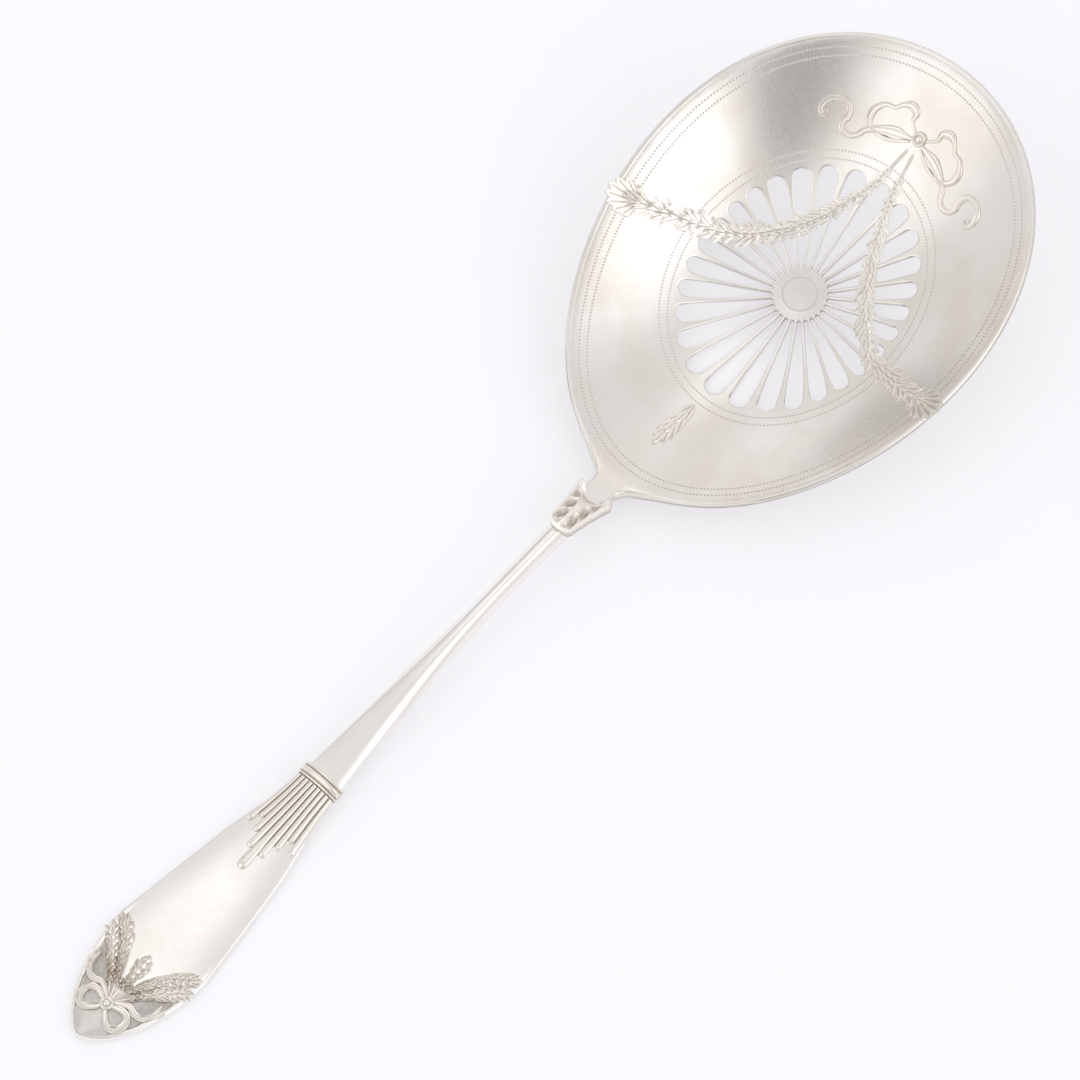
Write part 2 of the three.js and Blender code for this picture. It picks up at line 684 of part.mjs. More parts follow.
addPiece('bowl', bowlSolid(), SILVER);
addPiece('stem', stemSolid(), SILVER);
addPiece('neck_cap', capSolid(), WORN_SILVER);
addPiece('bow_knot', knotSolid(BOW_X, 0, BOW_KNOT_RADIUS, BOW_KNOT_HEIGHT, bowlHeight, tipped), SILVER);
addPiece('leaf_sprig', sprigSolid(), WORN_SILVER);
addPiece('reed_tie', tieSolid(), SILVER);
for (let number = 0; number < REED_COUNT; number += 1) {
  addPiece(`reed_${number + 1}`, reedSolid(number), SILVER);
}
const END_KNOT_X = POINT_X + END_KNOT_AT;
addPiece('end_knot', knotSolid(END_KNOT_X, 0, END_KNOT_RADIUS, END_KNOT_HEIGHT, onStem, asLaid), SILVER);
addPiece('ear_centre', earSolid(CENTRE_EAR, 0.25), WORN_SILVER);
for (const [word, side, swagEnd] of [['left', 1, SWAG_END_ANGLE_LEFT], ['right', -1, SWAG_END_ANGLE_RIGHT]]) {
  addPiece(`swag_${word}`, swagSolid(side, swagEnd), WORN_SILVER);
  addPiece(`bow_loop_${word}`, bowLoop(side), SILVER);
  addPiece(`bow_tail_${word}`, bowTail(side), SILVER);
  addPiece(`end_loop_${word}`, endLoop(side), SILVER);
  addPiece(`end_tail_${word}`, endTail(side), SILVER);
  addPiece(`ear_inner_${word}`, earSolid(mirrored(INNER_EAR, side), 0.2), WORN_SILVER);
  addPiece(`ear_outer_${word}`, earSolid(mirrored(OUTER_EAR, side), 0.15), WORN_SILVER);
}

export default spoon;
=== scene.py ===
# %% [markdown]
# # A pierced fruit spoon in chased silver
#
# The spoon is a wide oval bowl with a pierced rosette, on a slim stem that opens into a pointed
# handle end with a bow and five ears of leaves. The solid model gives every piece its place and size.
# Here each piece is made again with the fine shape that the eye needs, and gets its silver.

import math

import bpy
import numpy as np
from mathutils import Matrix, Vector
from mathutils.kdtree import KDTree


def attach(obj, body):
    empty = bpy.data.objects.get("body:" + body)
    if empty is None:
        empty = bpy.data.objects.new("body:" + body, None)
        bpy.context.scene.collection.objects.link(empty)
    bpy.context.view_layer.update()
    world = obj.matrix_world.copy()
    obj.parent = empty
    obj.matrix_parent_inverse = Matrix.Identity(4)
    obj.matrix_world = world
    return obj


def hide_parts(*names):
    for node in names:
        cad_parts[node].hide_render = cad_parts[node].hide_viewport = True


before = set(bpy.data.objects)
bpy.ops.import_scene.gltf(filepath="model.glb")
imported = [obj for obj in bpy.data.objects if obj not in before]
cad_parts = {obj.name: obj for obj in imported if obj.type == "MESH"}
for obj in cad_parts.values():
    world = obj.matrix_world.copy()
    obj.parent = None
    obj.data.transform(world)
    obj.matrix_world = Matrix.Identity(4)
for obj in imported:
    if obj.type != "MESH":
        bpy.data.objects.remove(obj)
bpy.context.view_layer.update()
MM = 0.001
print("nodes in the frame:", len(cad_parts))

# %% [markdown]
# ## The bowl's surface
#
# The bowl is raised from one sheet: in plan an oval, a little fuller at the far end, and in depth a
# dish that falls with the square of the distance from the hub. It lies tipped, far rim up. Everything
# that is soldered or engraved in the bowl is placed on this surface, so it is written once as a
# function, in millimetres, with the rim level. `tipped` then lays it down as the spoon lies.

# %% Sizes of the bowl and its surface
OVERALL_LENGTH = 215.0
BOWL_A, BOWL_B = 44.4, 33.85
BOWL_DEPTH, BOWL_SHEET = 13.9, 1.0
BOWL_FULLNESS = 0.1
TILT = math.radians(13.5)
NECK_SLOPE = math.radians(14)
# The throat, where the lip is drawn out to the neck, and the tongue that goes on under the cap
THROAT_WIDTH, THROAT_FILLET = 4.9, 1.7
THROAT_REACH, THROAT_REACH_SPREAD = 2.2, math.radians(6.9)
THROAT_EASE, THROAT_EASE_SPREAD = 0.05, 0.22
THROAT_LIMIT = math.radians(40)
TONGUE_BEND_X, TONGUE_BEND_EASE = BOWL_A + 1.5, 1.2
TONGUE_TAPER_X, TONGUE_TAPER = BOWL_A + 5.5, 1.6
TONGUE_END_X = BOWL_A + 12.5
HALVINGS = 44
SLOPE_STEP = 0.05


def smoothstep(x, low, high):
    t = np.clip((x - low) / (high - low), 0, 1)
    return t * t * (3 - 2 * t)


def hump(x, middle, spread):
    return np.exp(-(((x - middle) / spread) ** 2))


def stacked(*columns):
    return np.stack(columns, axis=-1)


def from_throat(bearing):
    return np.abs(np.arctan2(np.sin(bearing - math.pi), np.cos(bearing - math.pi)))


def rim_radius(bearing):
    aim = np.abs(np.arctan2(np.sin(bearing), np.cos(bearing)))
    low, high = np.zeros_like(aim), np.full_like(aim, math.pi)
    for _ in range(HALVINGS):
        u = (low + high) / 2
        x = BOWL_A * np.cos(u)
        y = BOWL_B * np.sin(u) * (1 + BOWL_FULLNESS * np.cos(u))
        short = np.arctan2(y, x) < aim
        low, high = np.where(short, u, low), np.where(short, high, u)
    return np.hypot(x, y)


def sheet_radius(bearing):
    away = from_throat(bearing)
    rim = rim_radius(bearing) + THROAT_REACH * hump(away, 0, THROAT_REACH_SPREAD)
    low, high = rim, TONGUE_END_X / np.maximum(np.cos(away), 0.1)
    # Along each ray, look for the edge of rim and tongue joined by a round fillet
    for _ in range(HALVINGS):
        reach = (low + high) / 2
        past_rim = reach - rim
        narrower = smoothstep(reach * np.cos(away), TONGUE_TAPER_X, TONGUE_END_X)
        past_side = reach * np.sin(away) - (THROAT_WIDTH - TONGUE_TAPER * narrower) / 2
        into_rim = np.maximum(THROAT_FILLET - past_rim, 0)
        into_side = np.maximum(THROAT_FILLET - past_side, 0)
        inside = np.maximum(THROAT_FILLET, np.minimum(past_rim, past_side)) < np.hypot(into_rim, into_side)
        low, high = np.where(inside, reach, low), np.where(inside, high, reach)
    return np.where(away > THROAT_LIMIT, rim, low)


def bowl_height(x, y):
    bearing = np.arctan2(y, x)
    share = (np.hypot(x, y) / rim_radius(bearing)) ** 2
    # At the throat the dish turns level with the rim, and the tongue then bends up to the stem
    ease = THROAT_EASE * hump(from_throat(bearing), 0, THROAT_EASE_SPREAD)
    level = (share + 1 - np.sqrt((share - 1) ** 2 + 4 * ease**2)) / 2
    dish = np.where(ease > 1e-4, level, share)
    rise = TONGUE_BEND_EASE * np.log1p(np.exp(np.minimum((-x - TONGUE_BEND_X) / TONGUE_BEND_EASE, 40)))
    return -BOWL_DEPTH * (1 - dish) + rise * math.tan(TILT + NECK_SLOPE)


def bowl_normal(x, y):
    slope_x = (bowl_height(x + SLOPE_STEP, y) - bowl_height(x - SLOPE_STEP, y)) / (2 * SLOPE_STEP)
    slope_y = (bowl_height(x, y + SLOPE_STEP) - bowl_height(x, y - SLOPE_STEP)) / (2 * SLOPE_STEP)
    normal = stacked(-slope_x, -slope_y, np.ones_like(slope_x))
    return normal / np.linalg.norm(normal, axis=-1, keepdims=True)


def bowl_point(x, y, lift):
    x, y = np.asarray(x, float), np.asarray(y, float)
    face = stacked(x, y, bowl_height(x, y))
    return face + bowl_normal(x, y) * np.broadcast_to(lift, x.shape)[..., None]


def tilted(points):
    x, y, z = points[..., 0], points[..., 1], points[..., 2]
    return stacked(x * math.cos(TILT) - z * math.sin(TILT), y, x * math.sin(TILT) + z * math.cos(TILT))


along = np.linspace(-BOWL_A, BOWL_A, 401)
under = tilted(bowl_point(along, np.zeros_like(along), -BOWL_SHEET))
PLACE_X = OVERALL_LENGTH / 2 - np.max(under[:, 0])
PLACE_Z = -np.min(under[:, 2])


def tipped(points):
    return tilted(points) + (PLACE_X, 0, PLACE_Z)


print("the bowl's own origin lies at", round(PLACE_X, 2), round(PLACE_Z, 2), "mm")

# %% [markdown]
# ## From numbers to pieces
#
# A relief of this kind is a thin skin over a surface that is already curved, so it is laid as a grid
# of rows and columns, each point placed on the surface below it. A pressed or cast ornament would be
# sculpted by eye; a grid that follows the surface keeps the solder line tight everywhere. A piece is
# made from layers, and each layer is a set of points, their faces, and how dark they are: oxide in the
# hollows, and on a few pieces painted shade.

# %% Make a mesh piece from layers
PIECES = []
WELD_REACH, SHORTEST_EDGE = 2e-6, 1e-7


def grid_faces(rows, columns, start=0, flip=False):
    a = (np.arange(rows - 1)[:, None] * columns + np.arange(columns - 1)[None, :]).ravel() + start
    quads = stacked(a, a + columns, a + columns + 1, a + 1)
    return quads[:, ::-1] if flip else quads


def shell_faces(rows, columns, walls):
    count = rows * columns
    faces = [grid_faces(rows, columns), grid_faces(rows, columns, count, True)]
    for wall in walls:
        faces.append(stacked(wall[:-1], wall[1:], wall[1:] + count, wall[:-1] + count))
    return np.concatenate(faces)


def open_for_editing(piece):
    bpy.ops.object.select_all(action="DESELECT")
    piece.select_set(True)
    bpy.context.view_layer.objects.active = piece
    bpy.ops.object.mode_set(mode="EDIT")
    bpy.ops.mesh.select_all(action="SELECT")


def finish_piece(piece, nodes, sharp, weld):
    open_for_editing(piece)
    if weld:
        bpy.ops.mesh.remove_doubles(threshold=WELD_REACH)
        bpy.ops.mesh.dissolve_degenerate(threshold=SHORTEST_EDGE)
        bpy.ops.mesh.select_all(action="SELECT")
    bpy.ops.mesh.normals_make_consistent(inside=False)
    bpy.ops.object.mode_set(mode="OBJECT")
    bpy.ops.object.shade_smooth_by_angle(angle=math.radians(sharp))
    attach(piece, "root")
    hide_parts(*nodes)
    PIECES.append(piece)


# How dark each point is: oxide in its hollows, and on some pieces painted shade
def add_oxide_and_shade(mesh, shares):
    layer = mesh.attributes.new("oxide_and_shade", "FLOAT", "POINT")
    layer.data.foreach_set("value", shares.astype(np.float32))


def make_piece(name, layers, nodes, sharp=50, weld=False, maps=None):
    points, faces, oxide_and_shade = zip(*layers)
    starts = np.cumsum([0] + [len(part) for part in points[:-1]])
    corners = np.concatenate([part + start for part, start in zip(faces, starts)])
    mesh = bpy.data.meshes.new(name)
    mesh.from_pydata((np.concatenate(points) * MM).tolist(), [], corners.tolist())
    for map_name, places in (maps or {}).items():
        layer = mesh.uv_layers.new(name=map_name)
        layer.data.foreach_set("uv", (places[corners.ravel()] * MM).astype(np.float32).ravel())
    add_oxide_and_shade(mesh, np.concatenate(oxide_and_shade))
    piece = bpy.data.objects.new(name, mesh)
    bpy.context.scene.collection.objects.link(piece)
    finish_piece(piece, nodes, sharp, weld)
    return piece


# %% [markdown]
# ## The pierced bowl
#
# The rosette is sawn out of the raised sheet: 28 slots between thin spokes, round a plain hub. A slot
# widens with its spokes up to a shoulder and then runs straight to its round end. Every edge is filed
# and burnished round, and that rounding is what makes each spoke read as a bright rod. At the throat
# the lip is drawn out, rolled over and left thicker below. The bowl is built sector by sector, from
# one slot to the next. The sheet keeps its thickness except near an edge, where both faces draw
# together on a half round.

# %% Slot outlines and the sheet's edge
SLOT_COUNT = 28
PITCH = 2 * math.pi / SLOT_COUNT
HUB_RADIUS = 4.6
RING_A, RING_B = 23.1, 18.7
SPOKE_WIDTH = 0.45
SLOT_SHOULDER, SLOT_EASE = 0.75, 1.2
FINE_THROAT = 0.12


def polar(radius, bearing):
    return stacked(radius * np.cos(bearing), radius * np.sin(bearing))


def oval_reach(bearing, semi_a=RING_A, semi_b=RING_B):
    return 1 / np.hypot(np.cos(bearing) / semi_a, np.sin(bearing) / semi_b)


def slot_edge(slot, hub_turns, straight, ring_turns):
    reach = float(oval_reach(np.array(slot * PITCH)))
    opening = math.tan(math.pi / SLOT_COUNT)
    inner = (HUB_RADIUS * opening - SPOKE_WIDTH / 2) / (1 - opening)
    outer = SLOT_SHOULDER * reach * opening - SPOKE_WIDTH / 2
    first = polar(inner, np.radians(hub_turns)) + (HUB_RADIUS + inner, 0)
    last = polar(outer, np.radians(ring_turns)) + (reach - outer, 0)
    # The sides run with the spokes as far as the slot's shoulder, and side by side from there
    along = first[-1, 0] * (1 - straight) + last[0, 0] * straight
    beside_spoke = along * opening - SPOKE_WIDTH / 2
    ease = SLOT_EASE * straight * (1 - straight)
    wide = (beside_spoke + outer - np.hypot(beside_spoke - outer, ease)) / 2
    line = np.concatenate([first, stacked(along, wide), last])
    return np.hypot(line[:, 0], line[:, 1]), np.arctan2(line[:, 1], line[:, 0])


def slot_outlines():
    lines = []
    turns = (np.linspace(180, 90, 10), np.linspace(0.01, 0.99, 150), np.linspace(90, 0, 24))
    for slot in range(SLOT_COUNT):
        radius, turn = slot_edge(slot, *turns)
        lines += [polar(radius, slot * PITCH + side * turn) for side in (-1, 1)]
    return np.concatenate(lines)


def sheet_outline():
    around = np.linspace(0, 2 * math.pi, 9001)[:-1]
    throat = np.linspace(math.pi - FINE_THROAT, math.pi + FINE_THROAT, 2400)
    bearings = np.concatenate([around, throat])
    return polar(sheet_radius(bearings), bearings)


def outline_tree(outline):
    tree = KDTree(len(outline))
    for i, (x, y) in enumerate(outline):
        tree.insert((x, y, 0), i)
    tree.balance()
    return tree


def nearest(plan, tree):
    found = [tree.find((x, y, 0))[2] for x, y in plan.reshape(-1, 2)]
    return np.array(found).reshape(plan.shape[:-1])


EDGE_TREE = outline_tree(sheet_outline())
SLOT_TREE = outline_tree(slot_outlines())
print("slots in the rosette:", SLOT_COUNT)

# %% The rows and columns of one sector
THROAT_DEGREES = [0, 0.6, 1.2, 1.7, 2.1, 2.4, 2.52, 2.6, 2.7, 2.82, 2.95, 3.05, 3.15, 3.25, 3.4, 3.6, 3.85]
THROAT_DEGREES += [4.15, 4.5, 4.9, 5.4, 6.0, 6.7, 7.5, 8.4, 9.4, 10.5, 11.6, 360 / SLOT_COUNT]
THROAT_COLUMNS = np.array(THROAT_DEGREES) * SLOT_COUNT / 360
PLAIN_COLUMNS = 0.5 - 0.5 * np.cos(np.linspace(0, math.pi, 13))
HUB_STEPS = np.array([0, 1.0, 2.0, 2.7, 2.85, 3.0, 3.15, 3.3, 3.8, 4.1, 4.3, 4.42, 4.52])
OUTER_STEPS = np.array([0.1, 0.22, 0.4])
# One spacing for all rows beyond the ring: a row that would pass the edge ends on it and is welded
SHEET_STEPS = np.linspace(0, TONGUE_END_X - RING_A, 46)[1:]
EDGE_STEPS = np.array([0.5, 0.34, 0.2, 0.1, 0.03, 0.0])


def sector_plan(sector):
    start = sector * PITCH
    columns = PLAIN_COLUMNS
    if abs(start + PITCH - math.pi) < PITCH / 2:
        columns = 1 - THROAT_COLUMNS[::-1]
    elif abs(start - math.pi) < PITCH / 2:
        columns = THROAT_COLUMNS
    turns = (np.linspace(180, 90, 6), np.linspace(0.04, 0.96, 15), np.linspace(90, 0, 9))
    here_radius, here_turn = slot_edge(sector, *turns)
    there_radius, there_turn = slot_edge((sector + 1) % SLOT_COUNT, *turns)
    t = columns[None, :]
    radius = here_radius[:, None] * (1 - t) + there_radius[:, None] * t
    bearing = start + here_turn[:, None] * (1 - t) + (PITCH - there_turn[:, None]) * t
    plain = start + columns * PITCH
    hub = np.repeat(HUB_STEPS[:, None], len(columns), axis=1)
    edge = sheet_radius(plain)
    inner = radius[-1] + OUTER_STEPS[:, None]
    middle = np.minimum(inner[-1] + SHEET_STEPS[:, None], edge - EDGE_STEPS[0])
    rim = edge - EDGE_STEPS[:, None]
    all_radius = np.concatenate([hub, radius, inner, middle, rim])
    first, last = len(hub), len(hub) + len(radius)
    all_bearing = np.repeat(plain[None, :], len(all_radius), axis=0)
    all_bearing[first:last] = bearing
    return all_radius, all_bearing, first, last


# %% The sheet's two faces, its lip and its sawn edges
SLOT_CORNER = 0.16
LIP_POWER = 3.4
HUB_LINE_RADIUS, HUB_LINE_WIDTH, HUB_LINE_DEPTH = 3.0, 0.12, 0.03
BEAD_RISE, BEAD_INSET, BEAD_SPREAD = 0.1, 0.34, 0.2
THROAT_SPREAD = math.radians(14)
THROAT_ROLL, ROLL_SHARE, THROAT_EXTRA = 0.65, 0.75, 1.1
RIM_LINE_OVAL = (BOWL_A - 5, BOWL_B - 5)
RING_LINE_OVAL = (RING_A + 1.8, RING_B + 2.0)


def rounded_half(distance, half, corner):
    reach = np.clip(distance, 0, corner)
    return half - corner + np.sqrt(np.maximum(corner**2 - (corner - reach) ** 2, 0))


def lip_half(distance, half):
    away = 1 - np.clip(distance / half, 0, 1)
    return half * np.maximum(1 - away**LIP_POWER, 0) ** (1 / LIP_POWER)


def sheet_faces(radius, bearing, to_edge, to_slot):
    half = BOWL_SHEET / 2
    thin = np.minimum(lip_half(to_edge, half), rounded_half(to_slot, half, SLOT_CORNER))
    hub_line = hump(radius, HUB_LINE_RADIUS, HUB_LINE_WIDTH)
    near_throat = hump(from_throat(bearing), 0, THROAT_SPREAD)
    turn = 1 - np.clip(to_edge / THROAT_ROLL, 0, 1)
    rolled = near_throat * ROLL_SHARE * THROAT_ROLL * (1 - np.sqrt(1 - turn**2))
    bead = BEAD_RISE * hump(to_edge, BEAD_INSET, BEAD_SPREAD) * (1 - np.minimum(1.3 * near_throat, 1))
    thicker = THROAT_EXTRA * near_throat * smoothstep(to_edge, 0, 0.12) * (1 - smoothstep(to_edge, 1, 5))
    top = -half + thin + bead - HUB_LINE_DEPTH * hub_line - rolled
    bottom = -half - thin - rolled - thicker
    # Painted shade: the slot walls and the filed slot edges are darkened, and so is a thin line on the
    # underside of the lip, less at the throat. The engraved hub line is oxide.
    painted_slot_wall_shade = 1 - smoothstep(to_slot, 0.0, 0.08)
    painted_lip_shade = smoothstep(to_edge, 0.005, 0.03) * (1 - smoothstep(to_edge, 0.1, 0.2)) * (1 - 0.85 * near_throat)
    dark_top = np.maximum(0.45 * hub_line, 0.55 * painted_slot_wall_shade)
    dark_bottom = np.maximum(0.95 * painted_slot_wall_shade, 0.9 * painted_lip_shade)
    return top, bottom, np.concatenate([dark_top.ravel(), dark_bottom.ravel()])


def path_length(line):
    return np.concatenate([[0], np.cumsum(np.linalg.norm(np.diff(line, axis=0), axis=1))])


def along_oval(bearing, semi_a, semi_b):
    turn = np.linspace(0, 2 * math.pi, 4001)
    return np.interp(bearing, turn, path_length(polar(oval_reach(turn, semi_a, semi_b), turn)))


# %% One sector after the other
def bowl_layers():
    layers, rim_lines, ring_lines = [], [], []
    for sector in range(SLOT_COUNT):
        radius, bearing, first, last = sector_plan(sector)
        plan = polar(radius, bearing)
        to_edge = nearest(plan, EDGE_TREE)
        to_edge[-1] = 0
        top, bottom, dark = sheet_faces(radius, bearing, to_edge, nearest(plan, SLOT_TREE))
        faces = [tipped(bowl_point(plan[..., 0], plan[..., 1], lift)) for lift in (top, bottom)]
        points = np.concatenate(faces).reshape(-1, 3)
        ids = np.arange(radius.size).reshape(radius.shape)[first:last]
        layers.append((points, shell_faces(*radius.shape, [ids[:, 0], ids[::-1, -1]]), dark))
        from_rim = stacked(along_oval(bearing, *RIM_LINE_OVAL), rim_radius(bearing) - radius)
        from_ring = stacked(along_oval(bearing, *RING_LINE_OVAL), radius - oval_reach(bearing))
        rim_lines += [from_rim.reshape(-1, 2)] * 2
        ring_lines += [from_ring.reshape(-1, 2)] * 2
    return layers, {"rim_lines": np.concatenate(rim_lines), "ring_lines": np.concatenate(ring_lines)}


layers, maps = bowl_layers()
bowl = make_piece("pierced_bowl", layers, ("bowl",), weld=True, maps=maps)
print("bowl faces:", len(bowl.data.polygons))

# %% [markdown]
# ## The stem
#
# The stem is forged: flat and wide at the pointed end, slim and half round at the waist, then lapped
# under the bowl's tongue. It is lofted from closed sections, each one flat below, round at the corners
# and crowned on top. The pointed end keeps a rolled border with a sunk, darkened ground inside it.

# %% Sizes of the stem and its surface
POINT_X = -OVERALL_LENGTH / 2
SHOULDER_AT, SHOULDER_WIDTH = 20.0, 18.6
PANEL_AT, PANEL_WIDTH = 40.0, 13.3
TIE_AT, TIE_SEAT_WIDTH = 56.5, 7.4
WAIST_AT, WAIST_WIDTH = 90.0, 3.9
NECK_WIDTH = 3.8
END_THICKNESS, STEM_THICKNESS = 1.9, 2.5
STEM_ARCH = 2.3
STEM_CORNER = 0.42
FLAT_BACK_LENGTH = 35.0
SOLDER_GAP = 0.25
SLIM_RANGE = (60, 92)
BORDER_RISE, BORDER_HALF, BORDER_END = 0.16, 0.45, (15, 25)
GROUND_DEPTH, GROUND_INSET, GROUND_END, GROUND_SLANT = 0.42, (0.75, 1.15), (7.0, 9.5), 1.05


def tongue_top(x):
    x = np.asarray(x, float)
    z = np.zeros_like(x)
    for _ in range(12):
        own = (x - PLACE_X + z * math.sin(TILT)) / math.cos(TILT)
        z = bowl_height(own, np.zeros_like(own))
    return PLACE_Z + own * math.sin(TILT) + z * math.cos(TILT)


TONGUE_END = float(tipped(bowl_point(np.array(-TONGUE_END_X), np.array(0.0), 0.0))[0])
LAP_X = TONGUE_END - SOLDER_GAP - BOWL_SHEET * math.sin(NECK_SLOPE)
LAP_AT = LAP_X - POINT_X
LAP_LIFT = float(tongue_top(LAP_X)) - STEM_THICKNESS
EARS_X = PLACE_X - (TONGUE_BEND_X + 3.2) * math.cos(TILT)


def smooth_line(knots, count):
    knots = np.asarray(knots, float)
    padded = np.concatenate([knots[:1], knots, knots[-1:]])
    line = []
    for i in range(len(knots) - 1):
        p0, p1, p2, p3 = padded[i : i + 4]
        t = np.linspace(0, 1, count, endpoint=False)[:, None]
        a, b = (p2 - p0) / 2, (p3 - p1) / 2
        line.append((2 * p1 - 2 * p2 + a + b) * t**3 + (-3 * p1 + 3 * p2 - 2 * a - b) * t**2 + a * t + p1)
    return np.concatenate(line + [knots[-1:]])


SIDE_AT = (SHOULDER_AT, PANEL_AT, TIE_AT, WAIST_AT, LAP_AT)
SIDE_WIDTH = (SHOULDER_WIDTH, PANEL_WIDTH, TIE_SEAT_WIDTH, WAIST_WIDTH, NECK_WIDTH)
STEM_SIDE = smooth_line([(at, width / 2) for at, width in zip(SIDE_AT, SIDE_WIDTH)], 40)


def stem_half(at):
    at = np.asarray(at, float)
    t = np.clip(at / SHOULDER_AT, 0, 1)
    ogive = np.maximum((1 - (1 - t) ** 2) ** 0.6 * SHOULDER_WIDTH / 2, 0.4)
    return np.where(at <= SHOULDER_AT, ogive, np.interp(at, STEM_SIDE[:, 0], STEM_SIDE[:, 1]))


def stem_back(at):
    at = np.asarray(at, float)
    t = np.clip((at - FLAT_BACK_LENGTH) / (LAP_AT - FLAT_BACK_LENGTH), 0, 1)
    arched = LAP_LIFT * t**1.6 + STEM_ARCH * np.sin(math.pi * t**1.5)
    return np.where(at > LAP_AT, tongue_top(POINT_X + at) - STEM_THICKNESS, arched)


def ground_share(at, y):
    inside = smoothstep(stem_half(at) - np.abs(y), *GROUND_INSET)
    return inside * (1 - smoothstep(at - np.abs(y) * GROUND_SLANT, *GROUND_END))


def ridge(v, middle, half):
    return np.sqrt(np.maximum(1 - ((v - middle) / half) ** 2, 0))


def stem_face(at, y):
    at, y = np.asarray(at, float), np.asarray(y, float)
    half = stem_half(at)
    v = np.clip(np.abs(y) / half, 0, 1)
    thick = END_THICKNESS + (STEM_THICKNESS - END_THICKNESS) * smoothstep(at, PANEL_AT, WAIST_AT)
    slim = smoothstep(at, *SLIM_RANGE)
    # The section's side is over half as high as its middle at the flat end, and lower where it is slim
    edge = 0.55 - 0.27 * slim
    crown = thick * (edge + (1 - edge) * (1 - v ** (2.4 - 0.3 * slim)))
    border = ridge(half - np.abs(y), BORDER_HALF, BORDER_HALF) * (1 - smoothstep(at, *BORDER_END))
    raised = np.minimum(crown + BORDER_RISE * border, thick)
    return stem_back(at) + raised - GROUND_DEPTH * ground_share(at, y)


# %% Loft the stem
EDGE_INSETS = np.array([0, 0.035, 0.09, 0.17, 0.27, 0.4, 0.55, 0.75, 1.0, 1.3])


def stem_stations():
    tip = np.array([0, 0.08, 0.2, 0.35])
    waist = np.linspace(62, LAP_AT, 70)
    lap = np.linspace(0.01, EARS_X - 0.4 - LAP_X, 14) + LAP_AT
    return np.concatenate([tip, np.arange(0.55, 22, 0.22), np.arange(22, 62, 0.45), waist, lap])


def stem_layer():
    stations = stem_stations()
    across = np.concatenate([1 - EDGE_INSETS / (SHOULDER_WIDTH / 2), np.linspace(0.84, 0, 22)])
    across = np.concatenate([across, -across[-2::-1]])
    half = stem_half(stations)[:, None]
    y = across[None, :] * half
    at = np.repeat(stations[:, None], len(across), axis=1)
    under = tongue_top(POINT_X + stations) - BOWL_SHEET + 0.02
    top = stem_face(at, y)
    top = np.where(at > LAP_AT, np.minimum(top, under[:, None]), top)
    back = np.repeat(stem_back(stations)[:, None], len(across), axis=1)
    corner = np.minimum(STEM_CORNER, half * 0.5)
    short = corner - np.minimum(half - np.abs(y), corner)
    drop = corner - np.sqrt(np.maximum(corner**2 - short**2, 0))
    low = back + np.minimum(drop * 0.8, 0.4 * (top - back))
    high = top - np.minimum(drop, 0.45 * (top - back))
    points = np.concatenate([stacked(POINT_X + at, y, z) for z in (high, low)]).reshape(-1, 3)
    ids = np.arange(at.size).reshape(at.shape)
    ring = np.concatenate([ids[0, :], ids[1:, -1], ids[-1, -2::-1], ids[-2::-1, 0]])
    by_border = smoothstep(np.abs(y) / half, 0.6, 0.92) * smoothstep(at, 4.5, 7.5)
    dark = ground_share(at, y) * np.maximum(0.5 + 0.4 * smoothstep(at, 3.5, 8.0), by_border)
    return points, shell_faces(*at.shape, [ring]), np.concatenate([dark.ravel(), np.zeros(dark.size)])


stem = make_piece("forged_stem", [stem_layer()], ("stem",), sharp=60)
print("stem faces:", len(stem.data.polygons))

# %% [markdown]
# ## Leaves, laid one over the other
#
# The swags, the spray by the throat and the ears on the handle are all laurel: small leaves with a cut
# midrib, each lying over the foot of the next. They could be sculpted one by one. Here a flat grid is
# added and extruded to a closed band, its points are moved to a leaf's outline, and copies of the leaf
# are bent onto the surface along a line, so that no leaf floats over the metal or sinks into it.

# %% Model a flat closed band
def flat_band(rows, columns):
    bpy.ops.mesh.primitive_grid_add(x_subdivisions=rows - 1, y_subdivisions=columns - 1, size=2)
    flat = bpy.context.object
    open_for_editing(flat)
    bpy.ops.mesh.extrude_region_move(TRANSFORM_OT_translate={"value": (0, 0, 1)})
    bpy.ops.mesh.select_all(action="SELECT")
    bpy.ops.mesh.normals_make_consistent(inside=False)
    bpy.ops.object.mode_set(mode="OBJECT")
    mesh = flat.data
    points = np.array([vertex.co for vertex in mesh.vertices])
    faces = np.array([list(face.vertices) for face in mesh.polygons])
    bpy.data.objects.remove(flat)
    bpy.data.meshes.remove(mesh)
    return (points[:, 0] + 1) / 2, points[:, 1], points[:, 2] > 0.5, faces


# %% Shape one leaf
LEAF_SINK = 0.08


def shape_leaf():
    u, edge, upper, faces = flat_band(8, 5)
    v = np.sign(edge) * np.abs(edge) ** 1.7
    pointed = np.sin(math.pi * np.clip(0.06 + 0.94 * u**0.8, 0, 1)) ** 0.75 * (1 - 0.15 * u)
    round_end = np.sqrt(np.clip(1 - smoothstep(u, 0.72, 1.02) ** 2, 0, 1))
    blunt = (0.3 + 0.7 * smoothstep(u, 0, 0.7)) * round_end
    midrib = hump(v, 0, 0.16) * (u < 0.9)
    swell = (1 - 0.75 * np.abs(v) ** 2.2) * (0.55 + 0.45 * np.sin(math.pi * np.clip(u * 1.05, 0, 1)))
    dark = midrib + 0.22 * smoothstep(np.abs(v), 0.75, 1.0) + 0.4 * smoothstep(-u, -0.14, 0)
    wide = {"pointed": v * np.maximum(pointed, 0.05), "blunt": v * np.maximum(blunt, 0.12)}
    height = np.where(upper, swell * (1 - 0.5 * midrib), 0)
    return u, wide, height, np.where(upper, np.clip(dark, 0, 1), 1), upper, faces


LEAF_U, LEAF_V, LEAF_HEIGHT, LEAF_DARK, LEAF_UPPER, LEAF_FACES = shape_leaf()


